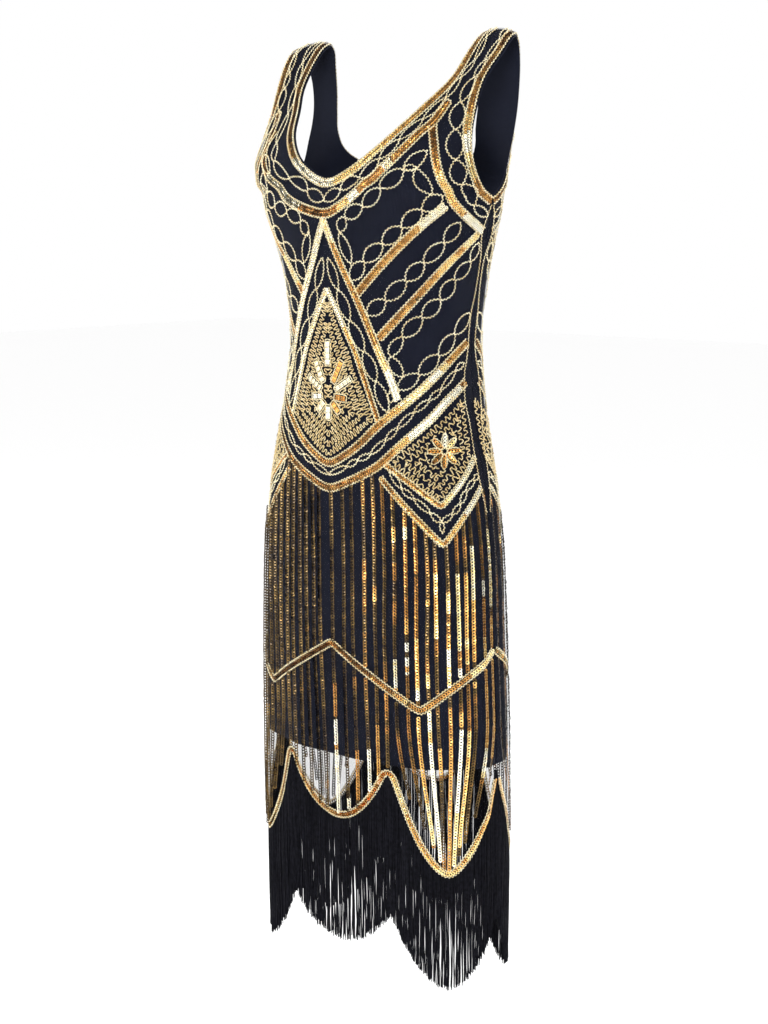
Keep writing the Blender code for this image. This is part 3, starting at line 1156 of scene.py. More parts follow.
@dataclass
class TrimSet:
    """Many of one small thing, gathered in groups and then made as one piece."""

    kind: Trim
    shape: TrimShape
    places: list[Array] = field(default_factory=list)
    turned: list[Array] = field(default_factory=list)
    sizes: list[Array] = field(default_factory=list)
    tones: list[Array] = field(default_factory=list)

    def add(self, places: Array, turned: Array, sizes: Array | float, tones: Array | float) -> None:
        """Adds some, with their places, Euler turns, sizes and tones."""
        self.places.append(places)
        self.turned.append(turned)
        self.sizes.append(np.broadcast_to(sizes, len(places)))
        self.tones.append(np.clip(np.broadcast_to(tones, len(places)), 0.0, 1.0))

    def seeds(self) -> Mesh:
        """A mesh of loose points that holds each one's turn, size and tone."""
        mesh = bpy.data.meshes.new(f"{self.kind.value}_places")
        places = np.concatenate(self.places).astype(np.float32)
        mesh.vertices.add(len(places))
        mesh.vertices.foreach_set("co", places.ravel())
        turn = mesh.attributes.new("turn", "FLOAT_VECTOR", "POINT")
        turn.data.foreach_set("vector", np.concatenate(self.turned).astype(np.float32).ravel())
        for name, parts in (("size", self.sizes), ("tone", self.tones)):
            values = mesh.attributes.new(name, "FLOAT", "POINT")
            values.data.foreach_set("value", np.concatenate(parts).astype(np.float32))
        return mesh

    def build(self) -> Mesh:
        """Makes one mesh of them all.

        Returns:
            The mesh, with the tone of each as an attribute.
        """
        template = new_object("template", self.shape.build(self.kind))
        seeds = new_object("seeds", self.seeds())
        seeds.modifiers.new("set", "NODES").node_group = set_on_points(template)
        mesh = baked(seeds)
        for item in (seeds, template):
            bpy.data.objects.remove(item, do_unlink=True)
        for name in ("turn", "size"):
            if name in mesh.attributes:
                mesh.attributes.remove(mesh.attributes[name])
        return mesh


# The design


@dataclass(frozen=True)
class BandSize:
    """Sizes of a band: lapped sequins between two rims of beads.

    Attributes:
        width: Distance between the two rims.
        rows: Rows of sequins side by side.
        sequin: Size of the sequins, as a share of the template.
        pitch: Distance between sequins along a row.
        lap: How far each sequin tips over the one before, as an angle.
    """

    width: float
    rows: int
    sequin: float
    pitch: float = 0.0029
    lap: float = 0.16


BROAD_BAND = BandSize(0.0096, 2, 0.80, 0.0030)
EDGE_BAND = BandSize(0.0082, 2, 0.68)
HIP_BAND = BandSize(0.0082, 2, 0.68)
BAR_BAND = BandSize(0.0084, 2, 0.70)
TRIANGLE_BAND = BandSize(0.0072, 2, 0.60, 0.0027)
SLIM_BAND = BandSize(0.0056, 1, 0.78)
ZIGZAG_BAND = BandSize(0.0076, 1, 1.02, 0.0032, 0.22)
HEM_BAND = BandSize(0.0066, 1, 1.02, 0.0030, 0.30)


class BeadLine(NamedTuple):
    """A kind of bead line.

    Attributes:
        group: The set that its beads belong to.
        tone: Their mean tone.
        size: Their size, as a share of the template.
        wobble: How far they lie to the line's left and right by turns.
        pitch: Distance between them along the line.
    """

    group: str
    tone: float
    size: float
    wobble: float
    pitch: float


RIM = BeadLine("rim_beads", 0.74, 1.08, 0.00045, 0.0020)
CHAIN = BeadLine("chain_beads", 0.84, 1.00, 0.00045, 0.0020)
SEAM = BeadLine("chain_beads", 0.70, 0.90, 0.00045, 0.0020)
FIELD = BeadLine("field_beads", 0.52, 0.98, 0.00018, 0.0019)
BAR_EDGE = FIELD._replace(tone=0.80)
PETAL_EDGE = FIELD._replace(tone=0.76)

# A loop of a chain has so many steps and is fuller than a sine wave
LOOP_STEPS = 22
LOOP_FULLNESS = 0.7
# Distance from the cloth's edge to the middle of the band along it
EDGE_INSET = 0.0066
HEM_INSET = 0.0046

# Tones on the scale from the darkest sequin, 0, to the palest, 1: amber is the gold's own tone, white and
# cream paint glints and highlights of the light on it, and olive paints the shade of sequins turned away
# from it
AMBER = 0.47
PAINTED_HIGHLIGHT = 0.80
PAINTED_GLINT = 1.00
PAINTED_SHADE = 0.09


class Run(NamedTuple):
    """A stretch of a band with a tone of its own.

    Attributes:
        start: Where it starts: a share of the band from the centre line, negative on the wearer's right, or
            a tape of a stripe.
        end: Where it ends.
        tone: Its tone; high tones paint glints and highlights, low ones paint shade.
    """

    start: float
    end: float
    tone: float


@dataclass(frozen=True)
class Band:
    """A band of the design, worked on both halves of the panel.

    Attributes:
        spots: The line down its middle on the wearer's left, from the centre line outwards.
        size: Its sizes.
        runs: Stretches with tones of their own, which paint glints, highlights and shade.
        right: The line on the wearer's right, where it differs.
        joined: True where both halves are one line across the centre.
        smooth: True where it curves through its spots.
        capped: True where its outer end is free and rounded.
    """

    spots: tuple[Spot, ...]
    size: BandSize
    runs: tuple[Run, ...] = ()
    right: tuple[Spot, ...] = ()
    joined: bool = False
    smooth: bool = True
    capped: bool = False


@dataclass(frozen=True)
class Chain:
    """A chain of loops: two strands of beads that cross at each spot.

    Attributes:
        crossings: Where they cross on the wearer's left.
        widths: How far each strand swings to its side in each loop; the last one serves the rest.
        right: Where they cross on the wearer's right, where it differs.
    """

    crossings: tuple[Spot, ...]
    widths: tuple[float, ...]
    right: tuple[Spot, ...] = ()


def spots(*pairs: tuple[float, float]) -> tuple[Spot, ...]:
    """Spots from pairs of tape and across."""
    return tuple(Spot(*pair) for pair in pairs)


FRONT_SECOND_NECK = spots(
    (0.202, 0.0), (0.193, 0.108), (0.182, 0.179), (0.170, 0.238), (0.161, 0.266), (0.146, 0.270),
    (0.134, 0.293), (0.124, 0.314), (0.114, 0.336), (0.104, 0.361), (0.094, 0.421), (0.086, 0.430),
    (0.076, 0.422),
)
FRONT_SECOND_NECK_RIGHT = spots(
    (0.202, 0.0), (0.192, 0.192), (0.177, 0.338), (0.155, 0.440), (0.140, 0.500), (0.114, 0.580),
    (0.098, 0.589), (0.078, 0.640),
)
SECOND_ARM = spots(
    (0.097, 0.458), (0.110, 0.571), (0.124, 0.645), (0.139, 0.687), (0.153, 0.708), (0.174, 0.729),
    (0.187, 0.775), (0.201, 0.853), (0.215, 0.950),
)
TRIANGLE = spots(
    (0.209, 0.0), (0.254, 0.104), (0.283, 0.183), (0.301, 0.232), (0.332, 0.312), (0.353, 0.363),
    (0.378, 0.425), (0.402, 0.471),
)
KITE_UPPER = spots(
    (0.284, 0.004), (0.319, 0.110), (0.349, 0.198), (0.376, 0.256), (0.400, 0.304), (0.424, 0.350),
)
BAR_UPPER = spots((0.288, 0.213), (0.185, 0.704))
BAR_LOWER = spots((0.335, 0.358), (0.220, 0.917))
HIP_UPPER = spots(
    (0.475, 0.0), (0.465, 0.121), (0.451, 0.229), (0.431, 0.346), (0.410, 0.487), (0.392, 0.608),
    (0.372, 0.734), (0.355, 0.847), (0.342, 0.950),
)
HIP_LOWER = spots(
    (0.503, 0.0), (0.493, 0.152), (0.480, 0.291), (0.470, 0.370), (0.456, 0.455), (0.440, 0.554),
    (0.423, 0.666), (0.406, 0.765), (0.393, 0.863), (0.385, 0.925),
)
DIAMOND_INNER = spots((0.472, 0.390), (0.494, 0.545), (0.517, 0.694), (0.491, 0.825), (0.466, 0.942))
DIAMOND_OUTER = spots((0.487, 0.358), (0.512, 0.470), (0.559, 0.695), (0.526, 0.830), (0.499, 0.955))
ZIGZAG = spots((0.679, 0.0), (0.745, 0.555), (0.681, 0.985))
SEAM_LINE = spots(
    (0.179, 0.990), (0.190, 0.972), (0.211, 0.955), (0.226, 0.956), (0.250, 0.982), (0.285, 0.980),
    (0.309, 0.964), (0.345, 0.962), (0.363, 0.944), (0.374, 0.925), (0.399, 0.915), (0.412, 0.920),
    (0.431, 0.938), (0.469, 0.948), (0.501, 0.960), (0.526, 0.982),
)

# The runs of each band paint its glints, highlights and shade
SHARED_BANDS = (
    Band(SECOND_ARM, BAR_BAND, (Run(0.35, 0.72, 0.66), Run(0.76, 1.0, PAINTED_GLINT), Run(-1.0, -0.6, PAINTED_HIGHLIGHT))),
    Band(TRIANGLE, TRIANGLE_BAND, (Run(-1.0, 0.0, 0.94), Run(0.0, 0.12, 0.85), Run(0.70, 0.84, 0.72),
                                   Run(0.84, 1.0, PAINTED_GLINT))),
    Band(KITE_UPPER, SLIM_BAND, (Run(-1.0, 0.0, 0.90), Run(0.0, 0.30, PAINTED_GLINT), Run(0.30, 0.62, 0.62),
                                 Run(0.62, 1.0, 0.40))),
    Band(BAR_UPPER, BAR_BAND, (Run(0.74, 1.0, 0.93), Run(-0.4, -0.1, PAINTED_HIGHLIGHT)), smooth=False),
    Band(BAR_LOWER, BAR_BAND, (Run(0.62, 0.80, 0.70), Run(0.88, 1.0, PAINTED_HIGHLIGHT), Run(-0.9, -0.5, 0.74)),
         smooth=False),
    Band(HIP_UPPER, HIP_BAND, (Run(-1.0, -0.2, 0.60), Run(0.40, 0.52, 0.66), Run(0.52, 0.84, PAINTED_HIGHLIGHT),
                               Run(0.70, 0.78, PAINTED_GLINT)), joined=True),
    Band(HIP_LOWER, HIP_BAND, (Run(0.45, 0.56, 0.64), Run(0.56, 0.96, PAINTED_GLINT), Run(-0.85, -0.55, 0.74)),
         joined=True),
    Band(DIAMOND_INNER, SLIM_BAND, (Run(0.56, 0.66, PAINTED_HIGHLIGHT), Run(0.66, 1.0, 0.96), Run(-1.0, -0.6, PAINTED_HIGHLIGHT)),
         smooth=False),
    Band(DIAMOND_OUTER, SLIM_BAND, (Run(0.60, 0.78, 0.68), Run(0.80, 1.0, PAINTED_GLINT), Run(-0.95, -0.6, PAINTED_HIGHLIGHT)),
         smooth=False),
    Band(ZIGZAG, ZIGZAG_BAND, (Run(0.10, 0.26, 0.38), Run(0.84, 1.0, PAINTED_HIGHLIGHT), Run(0.40, 0.47, 0.72),
                               Run(-0.35, -0.02, 0.40)), joined=True, smooth=False),
)
FRONT_BANDS = (
    Band(
        FRONT_SECOND_NECK, BROAD_BAND,
        (Run(-0.56, -0.16, PAINTED_GLINT), Run(0.14, 0.22, 0.74), Run(0.22, 0.30, PAINTED_GLINT), Run(0.50, 0.56, 0.95)),
        FRONT_SECOND_NECK_RIGHT, joined=True, capped=True,
    ),
)
BACK_BANDS = (
    Band(
        spots((0.194, 0.0), (0.191, 0.080), (0.184, 0.170), (0.175, 0.260), (0.164, 0.330),
              (0.153, 0.380), (0.141, 0.410), (0.128, 0.440), (0.110, 0.470), (0.090, 0.480),
              (0.072, 0.470)),
        BROAD_BAND, (Run(-0.30, 0.05, PAINTED_HIGHLIGHT), Run(0.45, 0.62, PAINTED_GLINT)), joined=True, capped=True,
    ),
)

# Runs of tone that paint glints and highlights on the neck, armhole and hem bands
FRONT_NECK_RUNS = (
    Run(-0.24, 0.04, PAINTED_GLINT), Run(0.04, 0.30, 0.74), Run(0.30, 0.52, 0.62), Run(-0.34, -0.24, 0.66),
)
FRONT_ARM_RUNS = (
    Run(0.50, 0.60, 0.68), Run(0.60, 0.70, PAINTED_GLINT), Run(0.70, 0.84, 0.74), Run(-0.7, -0.5, PAINTED_HIGHLIGHT),
)
BACK_NECK_RUNS = (Run(-0.20, 0.15, PAINTED_HIGHLIGHT), Run(0.50, 0.65, PAINTED_GLINT), Run(-0.80, -0.66, 0.72))
BACK_ARM_RUNS = (Run(0.30, 0.45, PAINTED_HIGHLIGHT), Run(-0.62, -0.45, PAINTED_GLINT))
HEM_RUNS = (Run(-1.0, 1.0, 0.62), Run(0.30, 0.42, PAINTED_HIGHLIGHT), Run(0.62, 0.80, 0.76), Run(-0.70, -0.45, 0.74))

BODICE_WIDTHS = (0.0080,)
SHARED_CHAINS = (
    Chain(spots((0.273, 0.175), (0.253, 0.261), (0.233, 0.374), (0.213, 0.479), (0.192, 0.584),
                (0.173, 0.688)),
          BODICE_WIDTHS),
    Chain(spots((0.310, 0.279), (0.294, 0.388), (0.273, 0.504), (0.253, 0.604), (0.230, 0.712),
                (0.205, 0.792)),
          BODICE_WIDTHS),
    Chain(spots((0.377, 0.499), (0.355, 0.433), (0.334, 0.500), (0.313, 0.612), (0.294, 0.716),
                (0.272, 0.800), (0.252, 0.900), (0.230, 0.937)),
          (0.0062, 0.0062, 0.0080, 0.0080, 0.0080, 0.0076, 0.0060)),
    Chain(spots((0.404, 0.420), (0.390, 0.475), (0.374, 0.600), (0.354, 0.726), (0.332, 0.842),
                (0.310, 0.953)),
          (0.0052, 0.0074, 0.0078, 0.0078, 0.0074)),
    Chain(spots((0.250, 0.020), (0.284, 0.085), (0.317, 0.165), (0.350, 0.260), (0.382, 0.338),
                (0.415, 0.412)),
          (0.0056, 0.0068, 0.0068, 0.0068, 0.0062)),
    Chain(spots((0.488, 0.0), (0.477, 0.133), (0.469, 0.212), (0.461, 0.300), (0.445, 0.397),
                (0.432, 0.471), (0.415, 0.568), (0.402, 0.662), (0.391, 0.741), (0.372, 0.850),
                (0.364, 0.921)), (0.0031,)),
    Chain(spots((0.478, 0.413), (0.497, 0.479), (0.508, 0.546), (0.523, 0.633), (0.532, 0.691),
                (0.525, 0.754), (0.514, 0.805), (0.500, 0.851), (0.490, 0.912), (0.485, 0.950)), (0.0030,)),
    Chain(spots((0.532, 0.691), (0.545, 0.696)), (0.0024,)),
    Chain(spots((0.142, 0.435), (0.121, 0.560)), (0.0074,)),
    Chain(spots((0.139, 0.529), (0.172, 0.630)), (0.0078,)),
    Chain(spots((0.222, 0.112), (0.255, 0.179)), (0.0062,)),
)
ARM_WIDTHS = (0.0030, 0.0030, 0.0036, 0.0060, 0.0085, 0.0092, 0.0092, 0.0074, 0.0048)
FRONT_CHAINS = (
    Chain(
        spots((0.188, 0.0), (0.175, 0.104), (0.158, 0.182), (0.132, 0.183), (0.112, 0.197),
              (0.092, 0.254), (0.072, 0.330), (0.054, 0.320), (0.040, 0.400), (0.018, 0.330),
              (0.0, 0.360)),
        (0.0066, 0.0060, 0.0056, 0.0052, 0.0047, 0.0042, 0.0036, 0.0032, 0.0030),
        spots((0.188, 0.0), (0.175, 0.133), (0.155, 0.248), (0.130, 0.346), (0.110, 0.343),
              (0.080, 0.312), (0.054, 0.300), (0.032, 0.390), (0.0, 0.340)),
    ),
    Chain(
        spots((0.0, 0.700), (0.020, 0.730), (0.040, 0.696), (0.054, 0.696), (0.074, 0.679),
              (0.098, 0.772), (0.128, 0.830), (0.152, 0.832), (0.181, 0.867), (0.194, 0.971)),
        ARM_WIDTHS,
    ),
    Chain(
        spots((0.221, 0.112), (0.205, 0.150), (0.191, 0.254), (0.170, 0.350), (0.142, 0.435),
              (0.139, 0.529)),
        (0.0066, 0.0076, 0.0080, 0.0080, 0.0030),
        spots((0.225, 0.125), (0.209, 0.176), (0.197, 0.300), (0.188, 0.430), (0.170, 0.560),
              (0.150, 0.630)),
    ),
)
BACK_CHAINS = (
    Chain(
        spots((0.177, 0.0), (0.171, 0.090), (0.160, 0.180), (0.149, 0.230), (0.134, 0.235),
              (0.113, 0.240), (0.090, 0.250), (0.066, 0.270), (0.042, 0.320), (0.018, 0.320),
              (0.0, 0.340)),
        (0.0058, 0.0056, 0.0054, 0.0050, 0.0046, 0.0042, 0.0038, 0.0034, 0.0030),
    ),
    Chain(
        spots((0.0, 0.680), (0.020, 0.700), (0.040, 0.700), (0.060, 0.710), (0.080, 0.740),
              (0.104, 0.790), (0.128, 0.840), (0.152, 0.850), (0.181, 0.880), (0.194, 0.971)),
        ARM_WIDTHS,
    ),
    Chain(
        spots((0.212, 0.060), (0.205, 0.160), (0.195, 0.270), (0.181, 0.370), (0.160, 0.450),
              (0.142, 0.500)),
        (0.0062, 0.0074, 0.0078, 0.0076, 0.0050),
    ),
)

LEFT_STRIPES = (
    0.018, 0.100, 0.163, 0.240, 0.304, 0.360, 0.420, 0.490, 0.545, 0.603, 0.650, 0.713, 0.770, 0.812,
    0.852, 0.912, 0.975,
)
RIGHT_STRIPES = (
    -0.070, -0.122, -0.180, -0.235, -0.296, -0.352, -0.420, -0.490, -0.560, -0.630, -0.700, -0.770,
    -0.840, -0.905, -0.975,
)
# Runs of tone that paint glints, highlights and shade on single front stripes, by their numbers
FRONT_STRIPE_RUNS = {
    0: (Run(0.725, 0.766, 0.46), Run(0.769, 0.800, PAINTED_GLINT), Run(0.800, 0.806, 0.50),
        Run(0.806, 0.880, 0.97)),
    1: (Run(0.860, 0.872, 0.95),),
    2: (Run(0.800, 0.860, 0.46),),
    3: (Run(0.796, 0.846, PAINTED_GLINT), Run(0.846, 0.852, 0.45), Run(0.852, 0.868, 0.96)),
    4: (Run(0.765, 0.824, 0.55), Run(0.826, 0.838, PAINTED_GLINT)),
    6: (Run(0.580, 0.600, 0.40), Run(0.688, 0.708, 0.90), Run(0.708, 0.718, PAINTED_GLINT),
        Run(0.718, 0.735, 0.62)),
    7: (Run(0.640, 0.658, 0.62), Run(0.668, 0.676, PAINTED_GLINT), Run(0.684, 0.692, 0.98),
        Run(0.692, 0.700, 0.60), Run(0.700, 0.704, 0.95)),
    8: (Run(0.560, 0.590, 0.42), Run(0.722, 0.732, PAINTED_GLINT), Run(0.736, 0.744, 0.97),
        Run(0.752, 0.850, 0.60), Run(0.850, 0.900, 0.80)),
    9: (Run(0.618, 0.626, 0.62), Run(0.700, 0.716, 0.70), Run(0.744, 0.768, 0.92),
        Run(0.768, 0.780, 0.66), Run(0.780, 0.930, 0.96)),
    10: (Run(0.785, 0.815, 0.56),),
    11: (Run(0.612, 0.632, 0.76), Run(0.642, 0.648, 0.66), Run(0.656, 0.672, 0.56),
         Run(0.674, 0.694, PAINTED_GLINT), Run(0.694, 0.718, 0.78), Run(0.738, 0.930, 0.52)),
    12: (Run(0.590, 0.676, 0.80), Run(0.676, 0.694, 0.40), Run(0.694, 0.704, 0.96),
         Run(0.744, 0.762, 0.62), Run(0.764, 0.860, PAINTED_GLINT), Run(0.860, 0.925, 0.80)),
    13: (Run(0.590, 0.660, 0.60), Run(0.660, 0.674, 0.76), Run(0.770, 0.900, 0.70)),
    14: (Run(0.560, 0.620, 0.86), Run(0.620, 0.690, 0.58)),
    15: (Run(0.600, 0.616, PAINTED_GLINT), Run(0.616, 0.664, 0.44), Run(0.664, 0.684, 0.72),
         Run(0.700, 0.786, 0.58), Run(0.786, 0.815, 0.94)),
    16: (Run(0.545, 0.630, 0.86), Run(0.640, 0.676, 0.60), Run(0.690, 0.800, 0.60)),
}


@dataclass(frozen=True)
class Design:
    """All that is sewn on one panel.

    Attributes:
        bands: Its bands, apart from the edges.
        chains: Its chains of loops.
        neck_runs: Runs of tone that paint glints and highlights on the band along the neck.
        arm_runs: Runs of tone that paint glints and highlights on the bands along the armholes.
        stripes: Places across of the skirt's stripes, those on the wearer's left first.
        stripe_runs: Runs of tone that paint glints, highlights and shade on some stripes, by their numbers.
    """

    bands: tuple[Band, ...]
    chains: tuple[Chain, ...]
    neck_runs: tuple[Run, ...]
    arm_runs: tuple[Run, ...]
    stripes: tuple[float, ...]
    stripe_runs: dict[int, tuple[Run, ...]]


FRONT_DESIGN = Design(
    bands=FRONT_BANDS + SHARED_BANDS,
    chains=FRONT_CHAINS + SHARED_CHAINS,
    neck_runs=FRONT_NECK_RUNS,
    arm_runs=FRONT_ARM_RUNS,
    stripes=LEFT_STRIPES + RIGHT_STRIPES,
    stripe_runs=FRONT_STRIPE_RUNS,
)
BACK_STRIPES = 30
BACK_DESIGN = Design(
    bands=BACK_BANDS + SHARED_BANDS,
    chains=BACK_CHAINS + SHARED_CHAINS,
    neck_runs=BACK_NECK_RUNS,
    arm_runs=BACK_ARM_RUNS,
    stripes=tuple((number - (BACK_STRIPES - 1) / 2) / (BACK_STRIPES / 2) for number in range(BACK_STRIPES)),
    stripe_runs={},
)


class Bar(NamedTuple):
    """A bar of the flower in the kite.

    Attributes:
        angle: Its direction, from straight up.
        start: Distance of its inner end from the flower's middle.
        length: Its length.
        tone: Its tone; high tones paint glints on its bugles, low ones paint shade.
    """

    angle: float
    start: float
    length: float
    tone: float


@dataclass(frozen=True)
class FieldSize:
    """Sizes of a field filled with wandering bead lines.

    Attributes:
        swing: How far a line wanders to each side.
        spacing: Distance between the line's legs.
        gap: Distance between neighbouring lines.
        border: Distance from the field's outline to the first line.
    """

    swing: float
    spacing: float
    gap: float
    border: float


KITE_FIELD = FieldSize(0.0040, 0.0026, 0.0011, 0.0046)
DIAMOND_FIELD = FieldSize(0.0030, 0.0032, 0.0020, 0.0048)
KITE_CORNERS = np.array(((0.0, 0.276), (0.0655, 0.427), (0.0, 0.477), (-0.0655, 0.427)))
KITE_MIDDLE = np.array((0.0, 0.400))
# The tones of the bars paint glints on some and shade on others
KITE_BARS = (
    Bar(0.00, 0.034, 0.026, 0.98),
    Bar(0.46, 0.017, 0.025, 0.60),
    Bar(-0.46, 0.017, 0.025, 0.92),
    Bar(1.00, 0.013, 0.023, 0.96),
    Bar(-1.00, 0.013, 0.023, 0.94),
    Bar(1.68, 0.010, 0.014, 0.44),
    Bar(-1.68, 0.010, 0.014, 1.00),
    Bar(2.45, 0.010, 0.013, 0.62),
    Bar(-2.45, 0.010, 0.013, 0.92),
    Bar(3.14, 0.012, 0.014, 1.00),
)
# A bar's outer rows of bugles lie at a share of its half width, its rim outside them
BAR_HALF_WIDTH = 0.0026
BAR_ROW_SHARE = 0.68
BAR_RIM = 0.0042
BAR_RIM_END = 0.0016
BAR_RIM_SQUARE = 1.6
BAR_RIM_STEPS = 64
BAR_ROOM = 0.0002
DIAMOND_CORNERS = np.array(((0.1660, 0.392), (0.0705, 0.470), (0.1350, 0.519), (0.1775, 0.467)))
DIAMOND_MIDDLE = np.array((0.1385, 0.4570))
PETAL_REACH = 0.0056
PETAL_LENGTH = 0.0108
# The tones of the petals paint glints on some and shade on others
PETAL_TONES = (0.98, 0.80, 0.46, 0.62, 0.52, 0.44, 0.60, 0.52)
PETAL_SEQUINS = 4
PETAL_SEQUIN = 0.96
PETAL_LAP = 0.25
PETAL_STRAY = 0.05
PETAL_RIM = 0.0034
PETAL_RIM_END = 0.0024
PETAL_RIM_STEPS = 32
FLOWER_ROOM = 0.0026

# Wandering lines: finest step, fewest steps and fewest waves of a ring, and the sines that make the waves
# uneven, each with its size and its number round the ring
WORM_STEP = 0.0003
WORM_STEPS = 60
WORM_WAVES = 3
WORM_PHASE = ((0.9, 5.0), (0.6, 11.0))
WORM_REACH = 0.84
WORM_UNEVEN = ((0.20, 7.0), (0.14, 13.0))
WORM_SQUARE = 1.5

# Sets of small things
TRIM_SETS = {
    "band_sequins": Trim.SEQUIN,
    "stripe_sequins": Trim.SEQUIN,
    "rim_beads": Trim.BEAD,
    "chain_beads": Trim.BEAD,
    "field_beads": Trim.BEAD,
    "bugles": Trim.BUGLE,
}

# Points of a line lie this far apart while it is laid; steps from spot to spot, and along the edges
COURSE_PITCH = 0.002
BAND_STEPS = 12
SPOT_STEPS = 8
EDGE_STEPS = 60
HEM_STEPS = 420
HEM_BAND_END = 0.985
# How far across from an edge its inner side is probed, how far ahead a bugle's direction is
EDGE_PROBE = 0.12
AHEAD = 0.001
# Passes that round the corners of the edge bands, of curved bands and of straight ones
EDGE_PASSES = 6
CURVE_PASSES = 2
CORNER_PASSES = 3
# The free end of a band: points of its half round, and how flat that is
CAP_POINTS = 7
CAP_FLATNESS = 0.8

# Beads: seat on the cloth in radii, turn and sizes; strays of place, turn and tone
BEAD_SEAT = 0.8
BEAD_YAW = 0.20
BEAD_SIZES = (0.92, 1.12)
BEAD_STRAY = 0.00008
BEAD_TURN_STRAY = 0.08
BEAD_TONE_STRAY = 0.12
# Tone drifts along a line and has a new value about every so many items
TONE_RUN = 9.0

# Sequins: sizes, seat above the cloth, rise where tipped; strays of lap, roll and tone
SEQUIN_SIZES = (0.95, 1.05)
SEQUIN_SEAT = 0.0004
SEQUIN_RISE = 0.7
LAP_STRAY = 0.05
ROLL_STRAY = 0.06
BAND_DRIFT = 0.08
BAND_STRAY = 0.085
RUN_STRAY = 0.045
# The two rows of a band tip towards each other
ROW_TIP = 0.16
ROLL_DRIFT = 0.08
ROLL_RUN = 5.0

# Skirt stripes: pitch, size and lap of the sequins, and room below the hip band and the diamonds, beside the
# zigzag and above the hem
STRIPE_PITCH = 0.0033
STRIPE_SEQUIN = 0.98
STRIPE_LAP = 0.14
HIP_ROOM = 0.0052
DIAMOND_ROOM = 0.0046
ZIGZAG_ROOM = 0.0062
HEM_ROOM = 0.0075
HEM_MARGIN = 0.006
LEAST_STRIPE = 4
# Below this tape the outer stripes lean towards the side dips, over so much tape and by so much of the way
LEAN_FROM = 0.755
LEAN_OVER = 0.19
LEAN = 0.55
STRIPE_WANDER = 0.004
WANDER_RUN = 42.0
# To the wearer's right of this place the front's sequins turn away from the light, fully after this span;
# the same turn darkens their tone as painted shade
TURN_FROM = 0.42
TURN_OVER = 0.36
# Back sequins are turned away by this much, give or take as much; this also darkens their tone as painted
# shade
BACK_TURN = 0.35
STRIPE_ROLL = 0.16
STRIPE_ROLL_RUN = 26.0
TURNED_ROLL = -1.00
LIT_ROLL = 0.3
# Tones of a stripe: long and short drifts, the painted shade of sequins turned away from the light and the
# tone of those that face it, stray, and runs of painted glints with their gain
LONG_RUN = 11.0
SHADE_DRIFTS = (0.08, 0.08, 3.0)
LIT_SIDE_TONE = 0.25
LIT_SIDE_DRIFTS = (0.20, 0.08, 4.0)
STRIPE_STRAY = 0.04
GLINT_RUN = 12.0
GLINT_FROM = 0.78
GLINT_RARER = 0.18
GLINT_GAIN = 0.42
GLINT_DIMMED = 0.5


def wandering(ring: Array, size: FieldSize) -> Array:
    """A closed line that wanders to both sides of a ring.

    Args:
        ring: Corners of the ring, as flat points.
        size: Sizes of the field.

    Returns:
        Flat points at the pitch of the beads.
    """
    closed = np.concatenate((ring, ring[:1]))
    run = run_along(closed)
    fine = np.linspace(0.0, run[-1], max(int(run[-1] / WORM_STEP), WORM_STEPS))
    turn = fine / run[-1] * math.tau
    path = read_line(closed, run, fine)
    path[1:-1] = (path[:-2] + path[1:-1] + path[2:]) / 3
    ahead = np.gradient(path, axis=0)
    aside = unit(np.stack((-ahead[:, 1], ahead[:, 0]), axis=1))
    waves = max(int(round(run[-1] / (2.0 * size.spacing))), WORM_WAVES)
    phase = sum((much * np.sin(turn * number) for much, number in WORM_PHASE), turn * waves)
    reach = size.swing * sum((much * np.cos(turn * number) for much, number in WORM_UNEVEN), WORM_REACH)
    swing = reach * np.clip(WORM_SQUARE * np.cos(phase), -1.0, 1.0)
    return spaced(path + aside * swing[:, None], FIELD.pitch)


